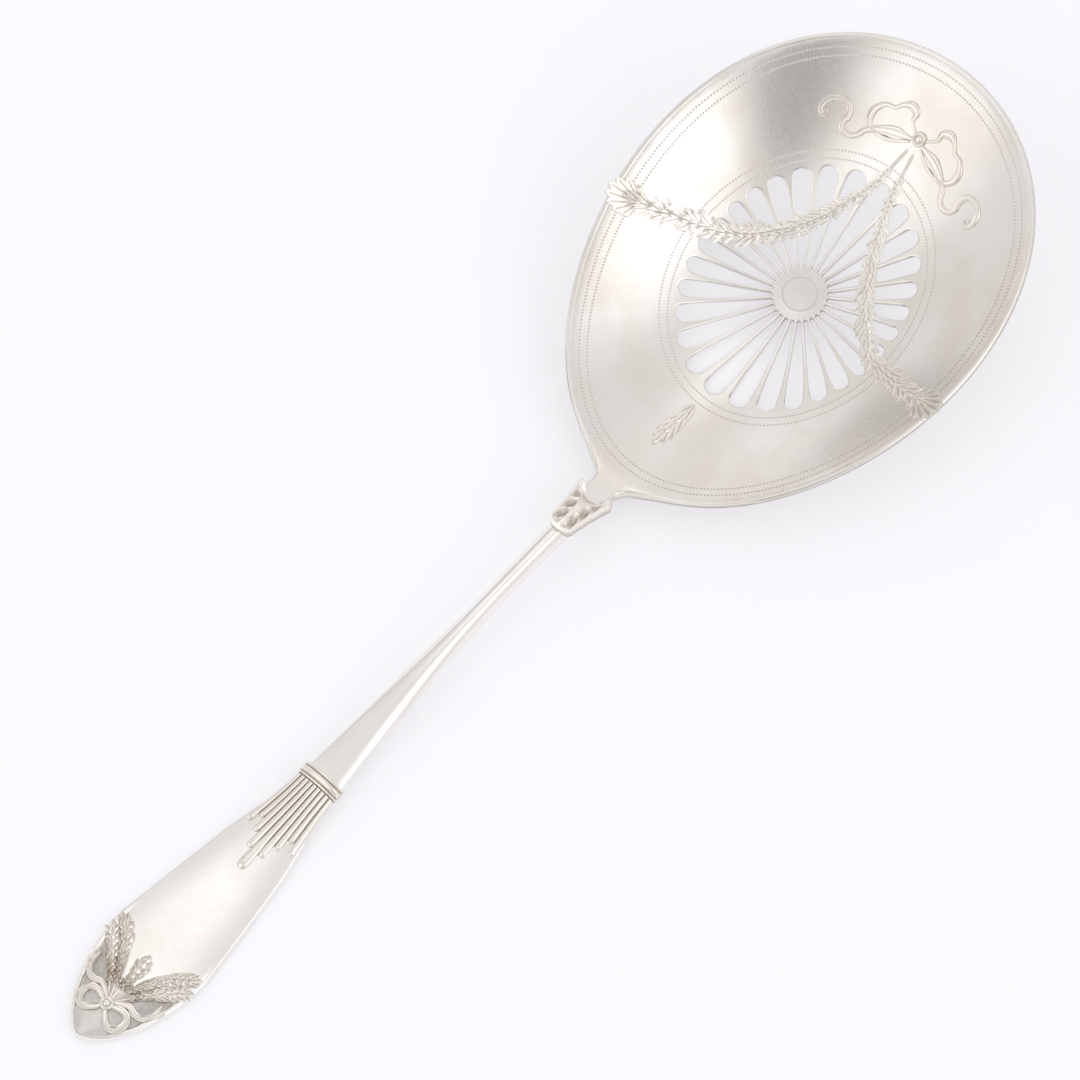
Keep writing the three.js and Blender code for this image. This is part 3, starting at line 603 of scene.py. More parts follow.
def lay_leaf(surface, start, direction, length, width, rise, base, bend=0.0, shape="pointed"):
    direction = direction / np.linalg.norm(direction)
    across = np.array([-direction[1], direction[0]])
    along = LEAF_U * length
    side = LEAF_V[shape] * width / 2 + bend * (LEAF_U - 0.5) ** 2 * length
    plan = start + along[:, None] * direction + side[:, None] * across
    lift = np.where(LEAF_UPPER, base + rise * LEAF_HEIGHT, -LEAF_SINK)
    return surface(plan[:, 0], plan[:, 1], lift), LEAF_FACES, LEAF_DARK


print("leaf faces:", len(LEAF_FACES))

# %% Lay a band along a line, on the bowl or on the stem
BAND_SAMPLES = 400
STEM_MARGIN = 0.1


def along_line(knots, count):
    line = smooth_line(knots, 60)
    length = path_length(line)
    share = np.linspace(0, length[-1], count)
    points = np.stack([np.interp(share, length, line[:, i]) for i in (0, 1)], axis=-1)
    tangent = np.gradient(points, axis=0)
    tangent /= np.linalg.norm(tangent, axis=1, keepdims=True)
    return points, tangent, length[-1]


def in_bowl(x, y, lift):
    return tipped(bowl_point(x, y, lift))


def on_stem(x, y, lift):
    at = np.clip(np.asarray(x) - POINT_X, 0.0, LAP_AT)
    half = stem_half(at) - STEM_MARGIN
    face = stem_face(at, np.clip(y, -half, half))
    return stacked(np.asarray(x, float), np.asarray(y, float), face + lift)


def value_at(rule, *shares):
    return rule(*shares) if callable(rule) else rule


# Half width, height and darkness are each a plain number or a rule over the band's shares
def lay_band(surface, knots, rows, columns, half, height, dark, sink=0.06, crowd=1.0):
    u, v, upper, faces = flat_band(rows, columns)
    u = 1 - (1 - u) ** crowd
    points, tangent, _ = along_line(knots, BAND_SAMPLES)
    share = np.linspace(0, 1, BAND_SAMPLES)
    wide = value_at(half, u) * v
    x = np.interp(u, share, points[:, 0]) - np.interp(u, share, tangent[:, 1]) * wide
    y = np.interp(u, share, points[:, 1]) + np.interp(u, share, tangent[:, 0]) * wide
    lift = np.where(upper, value_at(height, u, v), -sink)
    return surface(x, y, lift), faces, np.where(upper, value_at(dark, u, v), 1.0)


# %% [markdown]
# ## Swags and spray in the bowl
#
# Two laurel swags hang from the bow and sweep out to the side rims, where they fan out over the lip.
# Close to the bow they are only two thin stalks. A low bed under the leaves keeps the swag in one
# piece, as the cast ornament is, and five leaves stand on it at each step: one along the middle and
# two to each side. No two steps are alike, because a chaser cuts every leaf by hand.

# %% Lay the swags
BOW_X = BOWL_A - 12.4
SWAG_SHARES = [(0.502, 0.056), (0.354, 0.125), (0.212, 0.216), (0.1, 0.322), (0.012, 0.442), (-0.042, 0.57)]
SWAG_SAMPLES = 240
SWAG_STEP, SWAG_STEP_SWAY = 1.5, 0.2
STALK_SHARE, STALK_STEP, STALK_APART = 0.08, 1.3, 0.17
# Of a leaf: length, width, rise and height of its foot
STALK_LEAF = (2.6, 0.26, 0.08, 0.02)
MIDDLE_LEAF, MIDDLE_BASE, MIDDLE_SWAY = np.array([2.5, 1.4, 0.26]), 0.13, 16
SIDE_LONG, SIDE_LONG_SWAY = 2.5, 0.8
SIDE_WIDE, SIDE_WIDE_SWAY = 1.5, 0.35
SIDE_BEND = 0.12
# Of the side leaves: splay, how far it opens and sways, seed, share of length and of width, rise, base,
# and how far the foot lies ahead and aside
SIDE_LEAVES = (
    (18, 10, 18, 2, 1.0, 1.0, 0.22, 0.06, 0.0, 0.3),
    (32, 14, 22, 8, 0.75, 0.9, 0.16, 0.02, 0.75, 0.7),
)
FAN_LENGTH, FAN_REACH = 4.6, 0.6
FAN_LEAVES = ((-50, 3.6), (-31, 4.4), (-13, 4.8), (5, 4.9), (22, 4.7), (39, 4.2), (56, 3.4))
FAN_HEART = ((-24, 2.4), (0, 2.7), (24, 2.4))
FAN_WIDE, FAN_RISE, FAN_BASE = 1.75, 0.3, 0.12
HEART_LEAF = (1.1, 0.22, 0.24)


def swag_knots(side, end_degrees):
    end = math.radians(end_degrees)
    reach = float(rim_radius(np.array(end))) + FAN_REACH
    middle = [(a * BOWL_A, b * BOWL_B * side) for a, b in SWAG_SHARES]
    return [(BOW_X - 1.5, 0.5 * side)] + middle + [(reach * math.cos(end), reach * math.sin(end) * side)]


def turned(way, degrees):
    c, s = math.cos(math.radians(degrees)), math.sin(math.radians(degrees))
    return np.array([way[0] * c - way[1] * s, way[0] * s + way[1] * c])


def sway(step, seed):
    return 2 * (math.sin(step * 12.9898 + seed * 78.233) * 43758.5453 % 1) - 1


def swag_growth(u):
    return 0.1 + 0.9 * smoothstep(u, 0.06, 0.45)


def bed_half(u):
    return 0.85 * swag_growth(u)


def bed_height(u, v):
    return 0.16 * (1 - 0.8 * v**2) * swag_growth(u)


def swag_step(step, u, size, foot, way):
    looser = float(smoothstep(u, 0.45, 0.75))
    normal = np.array([-way[1], way[0]])
    leaves = [(foot, turned(way, MIDDLE_SWAY * sway(step, 1)), *(MIDDLE_LEAF * size), MIDDLE_BASE)]
    for offset in (-1, 1):
        long = (SIDE_LONG + SIDE_LONG_SWAY * sway(step, 5 + offset)) * size
        wide = (SIDE_WIDE + SIDE_WIDE_SWAY * sway(step, 11 + offset)) * size
        shift = way * (0.35 * offset + 0.5 * sway(step, 21 + offset)) * size
        for splay, opens, sways, seed, longer, wider, rise, base, ahead, aside in SIDE_LEAVES:
            turn = offset * (splay + opens * looser + sways * sway(step, seed + offset))
            side_foot = foot + shift + way * ahead * size + normal * offset * aside * size
            shape = (long * longer, wide * wider, rise * size, base, SIDE_BEND * offset)
            leaves.append((side_foot, turned(way, turn), *shape))
    return leaves


def swag_fan(foot, way):
    leaves = []
    for angle, long in FAN_LEAVES:
        aim = turned(way, angle)
        base = FAN_BASE - abs(angle) / 900
        leaves.append((foot + aim * 0.3, aim, long, FAN_WIDE, FAN_RISE, base, -angle / 900, "blunt"))
    for angle, long in FAN_HEART:
        leaves.append((foot - way * 0.5, turned(way, angle), long, *HEART_LEAF))
    return leaves


def make_swag(name, side, end_degrees):
    knots = swag_knots(side, end_degrees)
    points, tangent, length = along_line(knots, SWAG_SAMPLES)
    leaves = []
    step = 0.02 * length
    while step < length - FAN_LENGTH:
        u = step / length
        here = int(u * (SWAG_SAMPLES - 1))
        way, foot = tangent[here], points[here]
        if u < STALK_SHARE:
            normal = np.array([-way[1], way[0]])
            stalks = [foot + normal * offset for offset in (-STALK_APART, STALK_APART)]
            leaves += [(stalk, way, *STALK_LEAF) for stalk in stalks]
            step += STALK_STEP
            continue
        size = float(0.45 + 0.47 * smoothstep(u, 0.06, 0.45) + 0.14 * smoothstep(u, 0.55, 0.85))
        leaves += swag_step(step, u, size, foot, way)
        step += (SWAG_STEP + SWAG_STEP_SWAY * sway(step, 17)) * size
    # The fan at the rim: long leaves that spread from one point and end on the lip
    here = int((length - FAN_LENGTH) / length * (SWAG_SAMPLES - 1))
    leaves += swag_fan(points[here], tangent[here])
    bed = lay_band(in_bowl, knots, 90, 5, bed_half, bed_height, 0.3)
    layers = [bed] + [lay_leaf(in_bowl, *leaf) for leaf in leaves]
    return make_piece(name, layers, (name.replace("leaf_", ""),))


make_swag("leaf_swag_left", 1, 104.5)
make_swag("leaf_swag_right", -1, 95.5)

# %% Lay the spray by the throat
SPRIG_TIP_X, SPRIG_LENGTH = -(BOWL_A - 7.8), 10.2
SPRIG_PAIRS = ((0.4, 3.8, 15), (2.3, 3.6, 22), (4.3, 3.3, 25), (6.1, 2.8, 22))
SPRIG_MIDDLES = ((1.8, 3.0), (4.2, 3.2), (6.9, 3.2))
SPRIG_WIDE, SPRIG_RISE, SPRIG_APART = 1.5, 0.24, 0.12
MIDDLE_HIGH, PAIR_HIGH = 0.16, 0.06


def stalk_half(u):
    return 0.3 - 0.08 * u


def stalk_height(u, v):
    return 0.3 * (1 - 0.8 * v**2)


def make_sprig():
    start = SPRIG_TIP_X + SPRIG_LENGTH
    line = [(start, 0), (start - 4, 0), (SPRIG_TIP_X + 1.5, 0)]
    layers = [lay_band(in_bowl, line, 20, 5, stalk_half, stalk_height, 0.3)]
    leaves = [(at, 0, 0, long, MIDDLE_HIGH) for at, long in SPRIG_MIDDLES]
    for at, long, turn in SPRIG_PAIRS:
        leaves += [(at, side * SPRIG_APART, side * turn, long, PAIR_HIGH) for side in (1, -1)]
    for at, offset, turn, long, base in leaves:
        angle = math.radians(180 - turn)
        way = np.array([math.cos(angle), math.sin(angle)])
        foot = np.array([start - at, offset])
        layers.append(lay_leaf(in_bowl, foot, way, long, SPRIG_WIDE, SPRIG_RISE, base))
    return make_piece("laurel_sprig", layers, ("leaf_sprig",))


make_sprig()
print("pieces so far:", len(PIECES))

# %% [markdown]
# ## Ribbons and knots
#
# The bows are ribbon: flat bands with two raised, bright edges and a middle that dips. A band lies
# along a smooth line with that section and narrows where it ends. It could be a curve with a bevel,
# but then it would stay round and would not sit down on the curved metal. The knots are turned: half
# of a profile with one ring is spun about its axis, as on a lathe.

# %% The ribbon's section
RIBBON_COLUMNS = 15


def ribbon(surface, knots, rows, width, rise, ends, crease):
    def half(u):
        first = ends[0] + (1 - ends[0]) * smoothstep(u, 0, 0.12)
        last = ends[1] + (1 - ends[1]) * smoothstep(-u, -1, -0.88)
        return value_at(width, u) / 2 * np.minimum(first, last)

    def height(u, v):
        edge = hump(np.abs(v), 0.7, 0.17)
        return rise * (0.72 + 0.28 * edge) * (1 - 0.7 * smoothstep(np.abs(v), 0.84, 1.0))

    def dark(u, v):
        # Oxide lines along the outline and the crease, made darker where the ribbon is wide: that extra dark
        # is painted shade at the folds
        lines = 0.8 * smoothstep(np.abs(v), 0.84, 1.0) + crease * hump(np.abs(v), 0.38, 0.14)
        return np.clip(lines * (0.45 + 0.75 * half(u) / half(u).max()), 0, 1)

    return lay_band(surface, knots, rows, RIBBON_COLUMNS, half, height, dark)


def make_ribbon(name, nodes, surface, lines, beads=()):
    layers = [ribbon(surface, *line) for line in lines]
    for middle, size in beads:
        foot = np.array(middle) - np.array([size / 2, 0])
        points, faces, dark = lay_leaf(surface, foot, np.array([1.0, 0.0]), size, size, 0.4, 0.12)
        layers.append((points, faces, dark * 0.4))
    return make_piece(name, layers, nodes, sharp=45)


# %% Lay the ribbons
SIDES = ((1, "left"), (-1, "right"))
LOOP = [(0.4, 1.2), (1.5, 2.7), (2.9, 2.9), (3.4, 4.3), (2.7, 5.6), (1.6, 6.5), (1.0, 8.1), (-0.7, 9.2)]
LOOP += [(-2.5, 8.9), (-3.4, 7.2), (-3.2, 5.0), (-2.4, 3.2), (-1.2, 1.2)]
TAIL = [(-0.6, 1.0), (-1.3, 3.4), (-2.0, 5.3), (-3.0, 7.1), (-4.2, 8.5), (-5.5, 9.1), (-6.5, 10.2)]
TAIL += [(-6.5, 11.7), (-5.5, 12.4), (-4.2, 12.2), (-2.9, 12.9), (-2.8, 14.5), (-3.8, 16.1), (-5.6, 16.7)]
TAIL += [(-6.8, 16.1), (-6.6, 15.3), (-6.0, 15.5)]
CURL_BEAD, CURL_BEAD_SIZE = (-6.1, 15.6), 1.15
END_LOOP = [(0.0, 0.6), (0.75, 2.6), (0.45, 3.95), (-0.75, 4.5), (-2.2, 4.0), (-2.75, 2.7), (-1.7, 1.2)]
END_LOOP += [(-0.4, 0.3)]
END_TAIL = [(0.9, 0.8), (2.0, 3.0), (1.65, 4.5), (2.0, 5.8), (3.1, 6.6), (4.4, 6.9), (5.6, 6.7)]
END_FORK, END_FORK_WIDTH = [(2.6, 6.3), (3.2, 6.9), (4.2, 7.5), (5.3, 7.7)], 0.85
END_KNOT_X = POINT_X + 6.9
BOW_RISE, BOW_CREASE = 0.3, 0.6
END_RISE, FORK_RISE, END_CREASE = 0.5, 0.42, 0.55


def tail_width(u):
    return 0.95 + 1.1 * hump(u, 0.13, 0.1) + 0.35 * hump(u, 0.62, 0.07)


def loop_width(u):
    return 0.65 + 0.8 * hump(u, 0.2, 0.07) + 0.7 * hump(u, 0.56, 0.1)


def end_loop_width(u):
    return 1.05 + 0.35 * np.sin(math.pi * u)


def end_tail_width(u):
    return 1.0 + 0.35 * hump(u, 0.45, 0.2)


def beside(start_x, line, side):
    return [(start_x + x, y * side) for x, y in line]


for side, word in SIDES:
    loop = (beside(BOW_X, LOOP, side), 130, loop_width, BOW_RISE, (0.7, 0.7), BOW_CREASE)
    make_ribbon("ribbon_loop_" + word, ("bow_loop_" + word,), in_bowl, [loop])
    tail = (beside(BOW_X, TAIL, side), 150, tail_width, BOW_RISE, (0.5, 0.5), BOW_CREASE)
    curl = [(beside(BOW_X, [CURL_BEAD], side)[0], CURL_BEAD_SIZE)]
    make_ribbon("ribbon_tail_" + word, ("bow_tail_" + word,), in_bowl, [tail], curl)
    loop = (beside(END_KNOT_X, END_LOOP, side), 80, end_loop_width, END_RISE, (0.7, 0.7), END_CREASE)
    make_ribbon("end_ribbon_loop_" + word, ("end_loop_" + word,), on_stem, [loop])
    tail = (beside(END_KNOT_X, END_TAIL, side), 60, end_tail_width, END_RISE, (0.7, 0.4), END_CREASE)
    fork = (beside(END_KNOT_X, END_FORK, side), 24, END_FORK_WIDTH, FORK_RISE, (0.5, 0.4), END_CREASE)
    make_ribbon("end_ribbon_tail_" + word, ("end_tail_" + word,), on_stem, [tail, fork])

# %% Spin the knots
KNOT_PROFILE = [(0, 0.9), (0.15, 0.92), (0.32, 0.84), (0.44, 0.66), (0.52, 0.56), (0.6, 0.58), (0.7, 0.68)]
KNOT_PROFILE += [(0.8, 0.7), (0.9, 0.6), (0.97, 0.4), (1.0, 0.2), (1.0, -0.12), (0, -0.12)]
KNOT_DARK_AT = [0, 0.3, 0.5, 0.62, 0.75, 0.95, 1.0]
KNOT_DARK = [0, 0, 0.9, 0.9, 0, 0.2, 1]
KNOT_OXIDE = 0.6


def spin_knot(name, node, middle, radius, height, surface):
    mesh = bpy.data.meshes.new(name)
    edges = [(i, i + 1) for i in range(len(KNOT_PROFILE) - 1)]
    mesh.from_pydata([(r, 0, h) for r, h in KNOT_PROFILE], edges, [])
    piece = bpy.data.objects.new(name, mesh)
    bpy.context.scene.collection.objects.link(piece)
    open_for_editing(piece)
    bpy.ops.mesh.spin(steps=36, angle=2 * math.pi, center=(0, 0, 0), axis=(0, 0, 1))
    bpy.ops.mesh.select_all(action="SELECT")
    bpy.ops.mesh.remove_doubles(threshold=1e-5)
    bpy.ops.object.mode_set(mode="OBJECT")
    points = np.array([vertex.co for vertex in mesh.vertices])
    out = np.hypot(points[:, 0], points[:, 1])
    add_oxide_and_shade(mesh, KNOT_OXIDE * np.interp(out, KNOT_DARK_AT, KNOT_DARK) * (points[:, 2] > 0.02))
    seated = surface(middle + points[:, 0] * radius, points[:, 1] * radius, points[:, 2] * height)
    mesh.vertices.foreach_set("co", (seated * MM).astype(np.float32).ravel())
    mesh.update()
    finish_piece(piece, (node,), 50, False)


spin_knot("ribbon_knot", "bow_knot", BOW_X, 1.25, 0.9, in_bowl)
spin_knot("end_ribbon_knot", "end_knot", END_KNOT_X, 1.22, 1.0, on_stem)
print("pieces so far:", len(PIECES))

# %% [markdown]
# ## Ears on the handle's end
#
# Five ears spread from the end knot: one along the middle, two to each side. Each is a stalk with
# plump leaves nearly down to the knot. They crowd over each other, uneven as chased work is, and the
# tips of the outer ears stand a little over the border.

# %% Lay the ears
CENTRE_EAR = [(0.9, 0), (5.5, 0), (9.6, 0)]
INNER_EAR = [(0.9, 0.3), (4.4, 1.75), (6.8, 3.1), (9.0, 4.55), (10.9, 6.3), (12.4, 8.4)]
OUTER_EAR = [(0.9, 0.7), (3.6, 2.7), (5.6, 4.4), (7.5, 6.2), (9.2, 7.8), (10.2, 8.9)]
# Of each leaf at a step: side of the stalk, turn, rise, height of its foot and how far it lies ahead
EAR_LEAVES = ((0, 0, 0.4, 0.36, 0.45), (-1, -27, 0.5, 0.18, 0.0), (1, 27, 0.5, 0.18, 0.0))
EAR_SAMPLES = 200
EAR_STEP, EAR_LEAF_APART = 1.1, 0.16
EAR_LONG, EAR_LONG_SWAY = 1.95, 0.3
EAR_WIDE, EAR_WIDE_SWAY = 1.3, 0.15
EAR_TURN_SWAY, EAR_RISE_SWAY = 12, 0.2


def make_ear(name, node, path, side, bare):
    knots = beside(END_KNOT_X, path, side)
    layers = [lay_band(on_stem, knots, 60, 5, stalk_half, stalk_height, 0.1)]
    points, tangent, length = along_line(knots, EAR_SAMPLES)
    step = bare * length
    while step < length - 0.7:
        here = int(step / length * (EAR_SAMPLES - 1))
        u = (step / length - bare) / (1 - bare)
        swell = float(0.55 + 0.45 * smoothstep(u, 0.0, 0.6) - 0.25 * smoothstep(u, 0.75, 1.0))
        normal = np.array([-tangent[here][1], tangent[here][0]])
        for offset, turn, rise, base, ahead in EAR_LEAVES:
            long = (EAR_LONG + EAR_LONG_SWAY * sway(step, 7 + offset)) * swell
            wide = (EAR_WIDE + EAR_WIDE_SWAY * sway(step, 9 + offset)) * swell
            way = turned(tangent[here], turn + EAR_TURN_SWAY * sway(step, 3 + offset))
            foot = points[here] + normal * offset * EAR_LEAF_APART + tangent[here] * ahead
            high = rise * (1 + EAR_RISE_SWAY * sway(step, 13 + offset))
            shape = (min(long, length - step + 0.3), wide, high, base, 0.05 * offset)
            corners, faces, dark = lay_leaf(on_stem, foot, way, *shape)
            layers.append((corners, faces, dark * 0.6))
        step += EAR_STEP * (0.7 + 0.3 * swell)
    return make_piece(name, layers, (node,))


make_ear("laurel_ear_centre", "ear_centre", CENTRE_EAR, 1, 0.24)
for side, word in SIDES:
    make_ear("laurel_ear_inner_" + word, "ear_inner_" + word, INNER_EAR, side, 0.16)
    make_ear("laurel_ear_outer_" + word, "ear_outer_" + word, OUTER_EAR, side, 0.2)
print("pieces so far:", len(PIECES))

# %% [markdown]
# ## Reeds, tie and neck cap
#
# Nine reeds fan out over the handle from a ridged tie. They are half round rods with a round end, the
# middle one longest and broader at its tip. The cap over the solder joint at the neck is a leaf with a
# smooth central spear and scooped sides that flare into two ears at the throat. All are bands again:
# the reeds narrow to a half circle at the end, with the rows crowded there to keep the circle smooth.

# %% Lay the reeds
REED_COUNT, MIDDLE_REED = 9, 4
REED_LENGTH, REED_RISE, REED_GAP = 18.0, 0.6, 0.1
REED_SPAN, REED_FILL, REED_GATHER = 0.9, 0.485, 0.1
OUTER_REED, NEXT_REED = 0.62, 0.47
REED_TIP, MIDDLE_TIP, MIDDLE_BROADER = 0.85, 1.3, 0.35
TIE_HALF = 1.2


def make_reed(number):
    off = number - MIDDLE_REED
    share = off / MIDDLE_REED * REED_SPAN
    shorten = OUTER_REED if abs(off) == MIDDLE_REED else 1 - NEXT_REED * (abs(off) / 3) ** 0.8
    start = TIE_AT - TIE_HALF - REED_GAP
    length = REED_LENGTH * shorten
    part_way = np.linspace(0, 1, 7)
    at = start - length * part_way
    knots = list(zip(POINT_X + at, share * (1 - REED_GATHER * part_way) * stem_half(at)))
    broader = MIDDLE_BROADER if off == 0 else 0.0
    round_length = MIDDLE_TIP if off == 0 else REED_TIP

    def round_end(u):
        return ridge(np.clip(1 - (1 - u) * length / round_length, 0, 1), 0, 1)

    def half(u):
        pitch = REED_SPAN / MIDDLE_REED * (1 - REED_GATHER * u) * stem_half(start - length * u)
        wide = REED_FILL * pitch * (1 + broader * smoothstep(u, 0.6, 0.85))
        return wide * np.maximum(round_end(u), 0.05)

    def height(u, v):
        return REED_RISE * (0.15 + 0.85 * ridge(v, 0, 1)) * np.maximum(round_end(u), 0.2)

    def groove(u, v):
        return 0.35 * smoothstep(np.abs(v), 0.7, 1.0)

    rod = lay_band(on_stem, knots, 48, 9, half, height, groove, crowd=1.7)
    return make_piece(f"reed_rod_{number + 1}", [rod], (f"reed_{number + 1}",), sharp=60)


for number in range(REED_COUNT):
    make_reed(number)

# %% Lay the tie
TIE_OVERHANG, TIE_SINK = 0.2, 0.5


def tie_height(u, v):
    thin = np.maximum(ridge(v, -0.76, 0.22), ridge(v, 0.76, 0.22))
    return 0.15 + 0.7 * np.maximum(thin * 0.62, ridge(v, 0, 0.46))


def tie_groove(u, v):
    return 0.4 - 0.4 * smoothstep(tie_height(u, v), 0.15, 0.45)


side = float(stem_half(TIE_AT)) + TIE_OVERHANG
line = [(POINT_X + TIE_AT, y) for y in (side, 0, -side)]
tie = lay_band(on_stem, line, 41, 41, TIE_HALF, tie_height, tie_groove, sink=TIE_SINK)
make_piece("ridged_tie", [tie], ("reed_tie",), sharp=60)

# %% Lay the neck cap
CAP_LENGTH, CAP_LOBES = 10.5, 4.0
CAP_TAIL_WIDTH, CAP_EAR_WIDTH = 4.2, 7.3
CAP_BASE, CAP_RISE, CAP_SUNK = 0.35, 0.8, 0.06
CAP_SKIRT, CAP_SINK = 1.6, 0.12


def cap_seat(x):
    seat = tongue_top(np.maximum(x, TONGUE_END))
    face = stem_face(x - POINT_X, np.zeros_like(x))
    return np.where(x < TONGUE_END, np.maximum(face, seat), seat)


def cap_layer():
    u, v, upper, faces = flat_band(96, 61)
    side = np.abs(v)
    # The outline: a round tail at the stem, two ears at the throat and a hollow between them
    tail = np.sqrt(1 - (1 - np.clip(u / 0.16, 0.02, 1)) ** 2)
    ears = 1 - 0.14 * smoothstep(u, 0.9, 1.0)
    lobed = 1 + 0.03 * np.abs(np.sin(math.pi * CAP_LOBES * u))
    half = (CAP_TAIL_WIDTH + (CAP_EAR_WIDTH - CAP_TAIL_WIDTH) * u**1.5) / 2 * tail * ears * lobed
    y = np.clip(half * v, -CAP_EAR_WIDTH / 2, CAP_EAR_WIDTH / 2)
    hollow_end = 1.7 * (1 - side**1.5) * smoothstep(u, 0.68, 1.0)
    x = EARS_X - CAP_LENGTH * (1 - u) - hollow_end
    # The relief: a central spear and slanting scoops beside it, which run out to the tongue
    spear_width = 0.14 + 0.6 * u**3
    spear = (1 - smoothstep(side, spear_width * 0.7, spear_width * 1.15)) * smoothstep(u, 0.12, 0.2)
    lobe = (CAP_LOBES * u + 0.9 * side**2 + 0.15) % 1.0
    inset = np.clip((side - spear_width) / (0.84 - spear_width), 0, 1)
    scoop = np.sin(math.pi * lobe) ** 0.7 * np.sin(math.pi * inset) ** 0.6 * smoothstep(u, 0.06, 0.14)
    scoop = scoop * (1 - smoothstep(u, 0.84, 0.95))
    tall = (0.75 + 0.25 * spear - 0.95 * scoop) * (1 - 0.5 * smoothstep(side, 0.93, 1.0))
    run_out = smoothstep(u, 0.5, 0.96) * (1 - smoothstep(side, 0.4, 0.85))
    lift = (CAP_BASE + CAP_RISE * tall) * (1 - run_out) - CAP_SUNK * run_out
    skirt = CAP_SINK + CAP_SKIRT * smoothstep(side, 0.76, 0.84) * smoothstep(u, 0.0, 0.06)
    z = cap_seat(x) + np.where(upper, lift, -skirt)
    dark = np.where(upper, 0.85 * smoothstep(scoop, 0.25, 0.85), 1)
    return stacked(x, y, z), faces, dark


make_piece("leaf_cap", [cap_layer()], ("neck_cap",))
print("pieces:", len(PIECES))

# %% [markdown]
# ## Silver
#
# All of it is the same metal, and its finish tells the parts apart; the stem's colour is also painted a
# little lighter. The plain silver is satin, with fine random scratches, and a little warmer where it has
# toned. The chased ornament keeps its dark oxide in every hollow, while the high points are rubbed
# bright. The same dark colour is painted as shade on the bowl's slot walls, under its lip and at the
# ribbons' folds. The lines in the bowl are rows of punched dots, drawn along the bowl's own maps so
# that they follow the rim and the rosette.

# %% Colours and one function for nodes
def linear(hex_colour):
    channels = [int(hex_colour[i : i + 2], 16) / 255 for i in (1, 3, 5)]
    return tuple(c / 12.92 if c <= 0.04045 else ((c + 0.055) / 1.055) ** 2.4 for c in channels) + (1.0,)


def add_node(tree, kind, *values, named=None, output=0, **settings):
    node = tree.nodes.new("ShaderNode" + kind)
    for key, value in settings.items():
        setattr(node, key, value)
    for key, value in [*enumerate(values), *(named or {}).items()]:
        if isinstance(value, bpy.types.NodeSocket):
            tree.links.new(value, node.inputs[key])
        else:
            node.inputs[key].default_value = value
    return node.outputs[output] if node.outputs else None


# %% A row of punched dots, in metres along and across the line
DOT_PITCH = 0.56 * MM
# A real punch is some 0.1 mm wide; the dots are drawn twice as wide so that they show in the render
DOT_RADIUS = 0.19 * MM


def punched_row(tree, uv_map, offset):
    uv = add_node(tree, "UVMap", uv_map=uv_map)
    from_dot = add_node(tree, "VectorMath", uv, (DOT_PITCH / 2, offset, 0), operation="SUBTRACT")
    high, low = (DOT_PITCH / 2, 1, 1), (-DOT_PITCH / 2, -1, -1)
    repeated = add_node(tree, "VectorMath", from_dot, high, low, operation="WRAP")
    oval = add_node(tree, "VectorMath", repeated, (0.95, 1, 1), operation="MULTIPLY")
    far = add_node(tree, "VectorMath", oval, output="Value", operation="LENGTH")
    soft = {"interpolation_type": "SMOOTHSTEP"}
    return add_node(tree, "MapRange", far, DOT_RADIUS * 0.45, DOT_RADIUS, 1.0, 0.0, **soft)


# %% The silver, with its wear and its oxide
SATIN = ("#F2EEEA", "#EAE3DB")
# The stem's colours: the satin painted a little lighter, as painted light for the brighter stem
SATIN_PAINTED_LIGHTER = ("#F9F6F2", "#F3EEE8")
RUBBED = ("#FBF6F0", "#F5EDE4")
HANDLED = ("#F6F1EB", "#EFE8E0")
# The brown of the oxide, also used for the painted shade
OXIDE_AND_SHADE = "#5A4838"
TONED_PATCH = 12 * MM
OXIDE_GRAIN = 0.7 * MM
# Real scratches are finer than 0.02 mm; these are drawn coarser so that they show in the render
SCRATCH_LENGTH, SCRATCH_WIDTH = 1.1 * MM, 0.12 * MM
SCRATCH_WAYS = ((0.5, SCRATCH_LENGTH, SCRATCH_WIDTH), (-0.9, SCRATCH_WIDTH, SCRATCH_LENGTH))
CORNER_REACH = 0.7 * MM
BUMP_DEPTH = 0.08 * MM
PUNCHED_ROWS = (("rim_lines", 1.9), ("rim_lines", 3.2), ("ring_lines", 1.2), ("ring_lines", 2.6))


def toned_metal(tree, place, colours):
    named = {"Vector": place, "Scale": 1 / TONED_PATCH, "Detail": 3.0, "Roughness": 0.55}
    patches = add_node(tree, "TexNoise", named=named)
    tone = add_node(tree, "MapRange", patches, 0.35, 0.7, 0.0, 1.0)
    named = {0: tone, 6: linear(colours[0]), 7: linear(colours[1])}
    return patches, add_node(tree, "Mix", named=named, output=2, data_type="RGBA")


def crossed_scratches(tree, place):
    scratches = []
    for turn, x_size, y_size in SCRATCH_WAYS:
        named = {0: place, 2: (0, 0, turn), 3: (1 / x_size, 1 / y_size, 1 / SCRATCH_LENGTH)}
        mapped = add_node(tree, "Mapping", named=named)
        scratches.append(add_node(tree, "TexNoise", named={"Vector": mapped, "Scale": 1.0, "Detail": 2.0}))
    return add_node(tree, "Math", *scratches, operation="MULTIPLY")


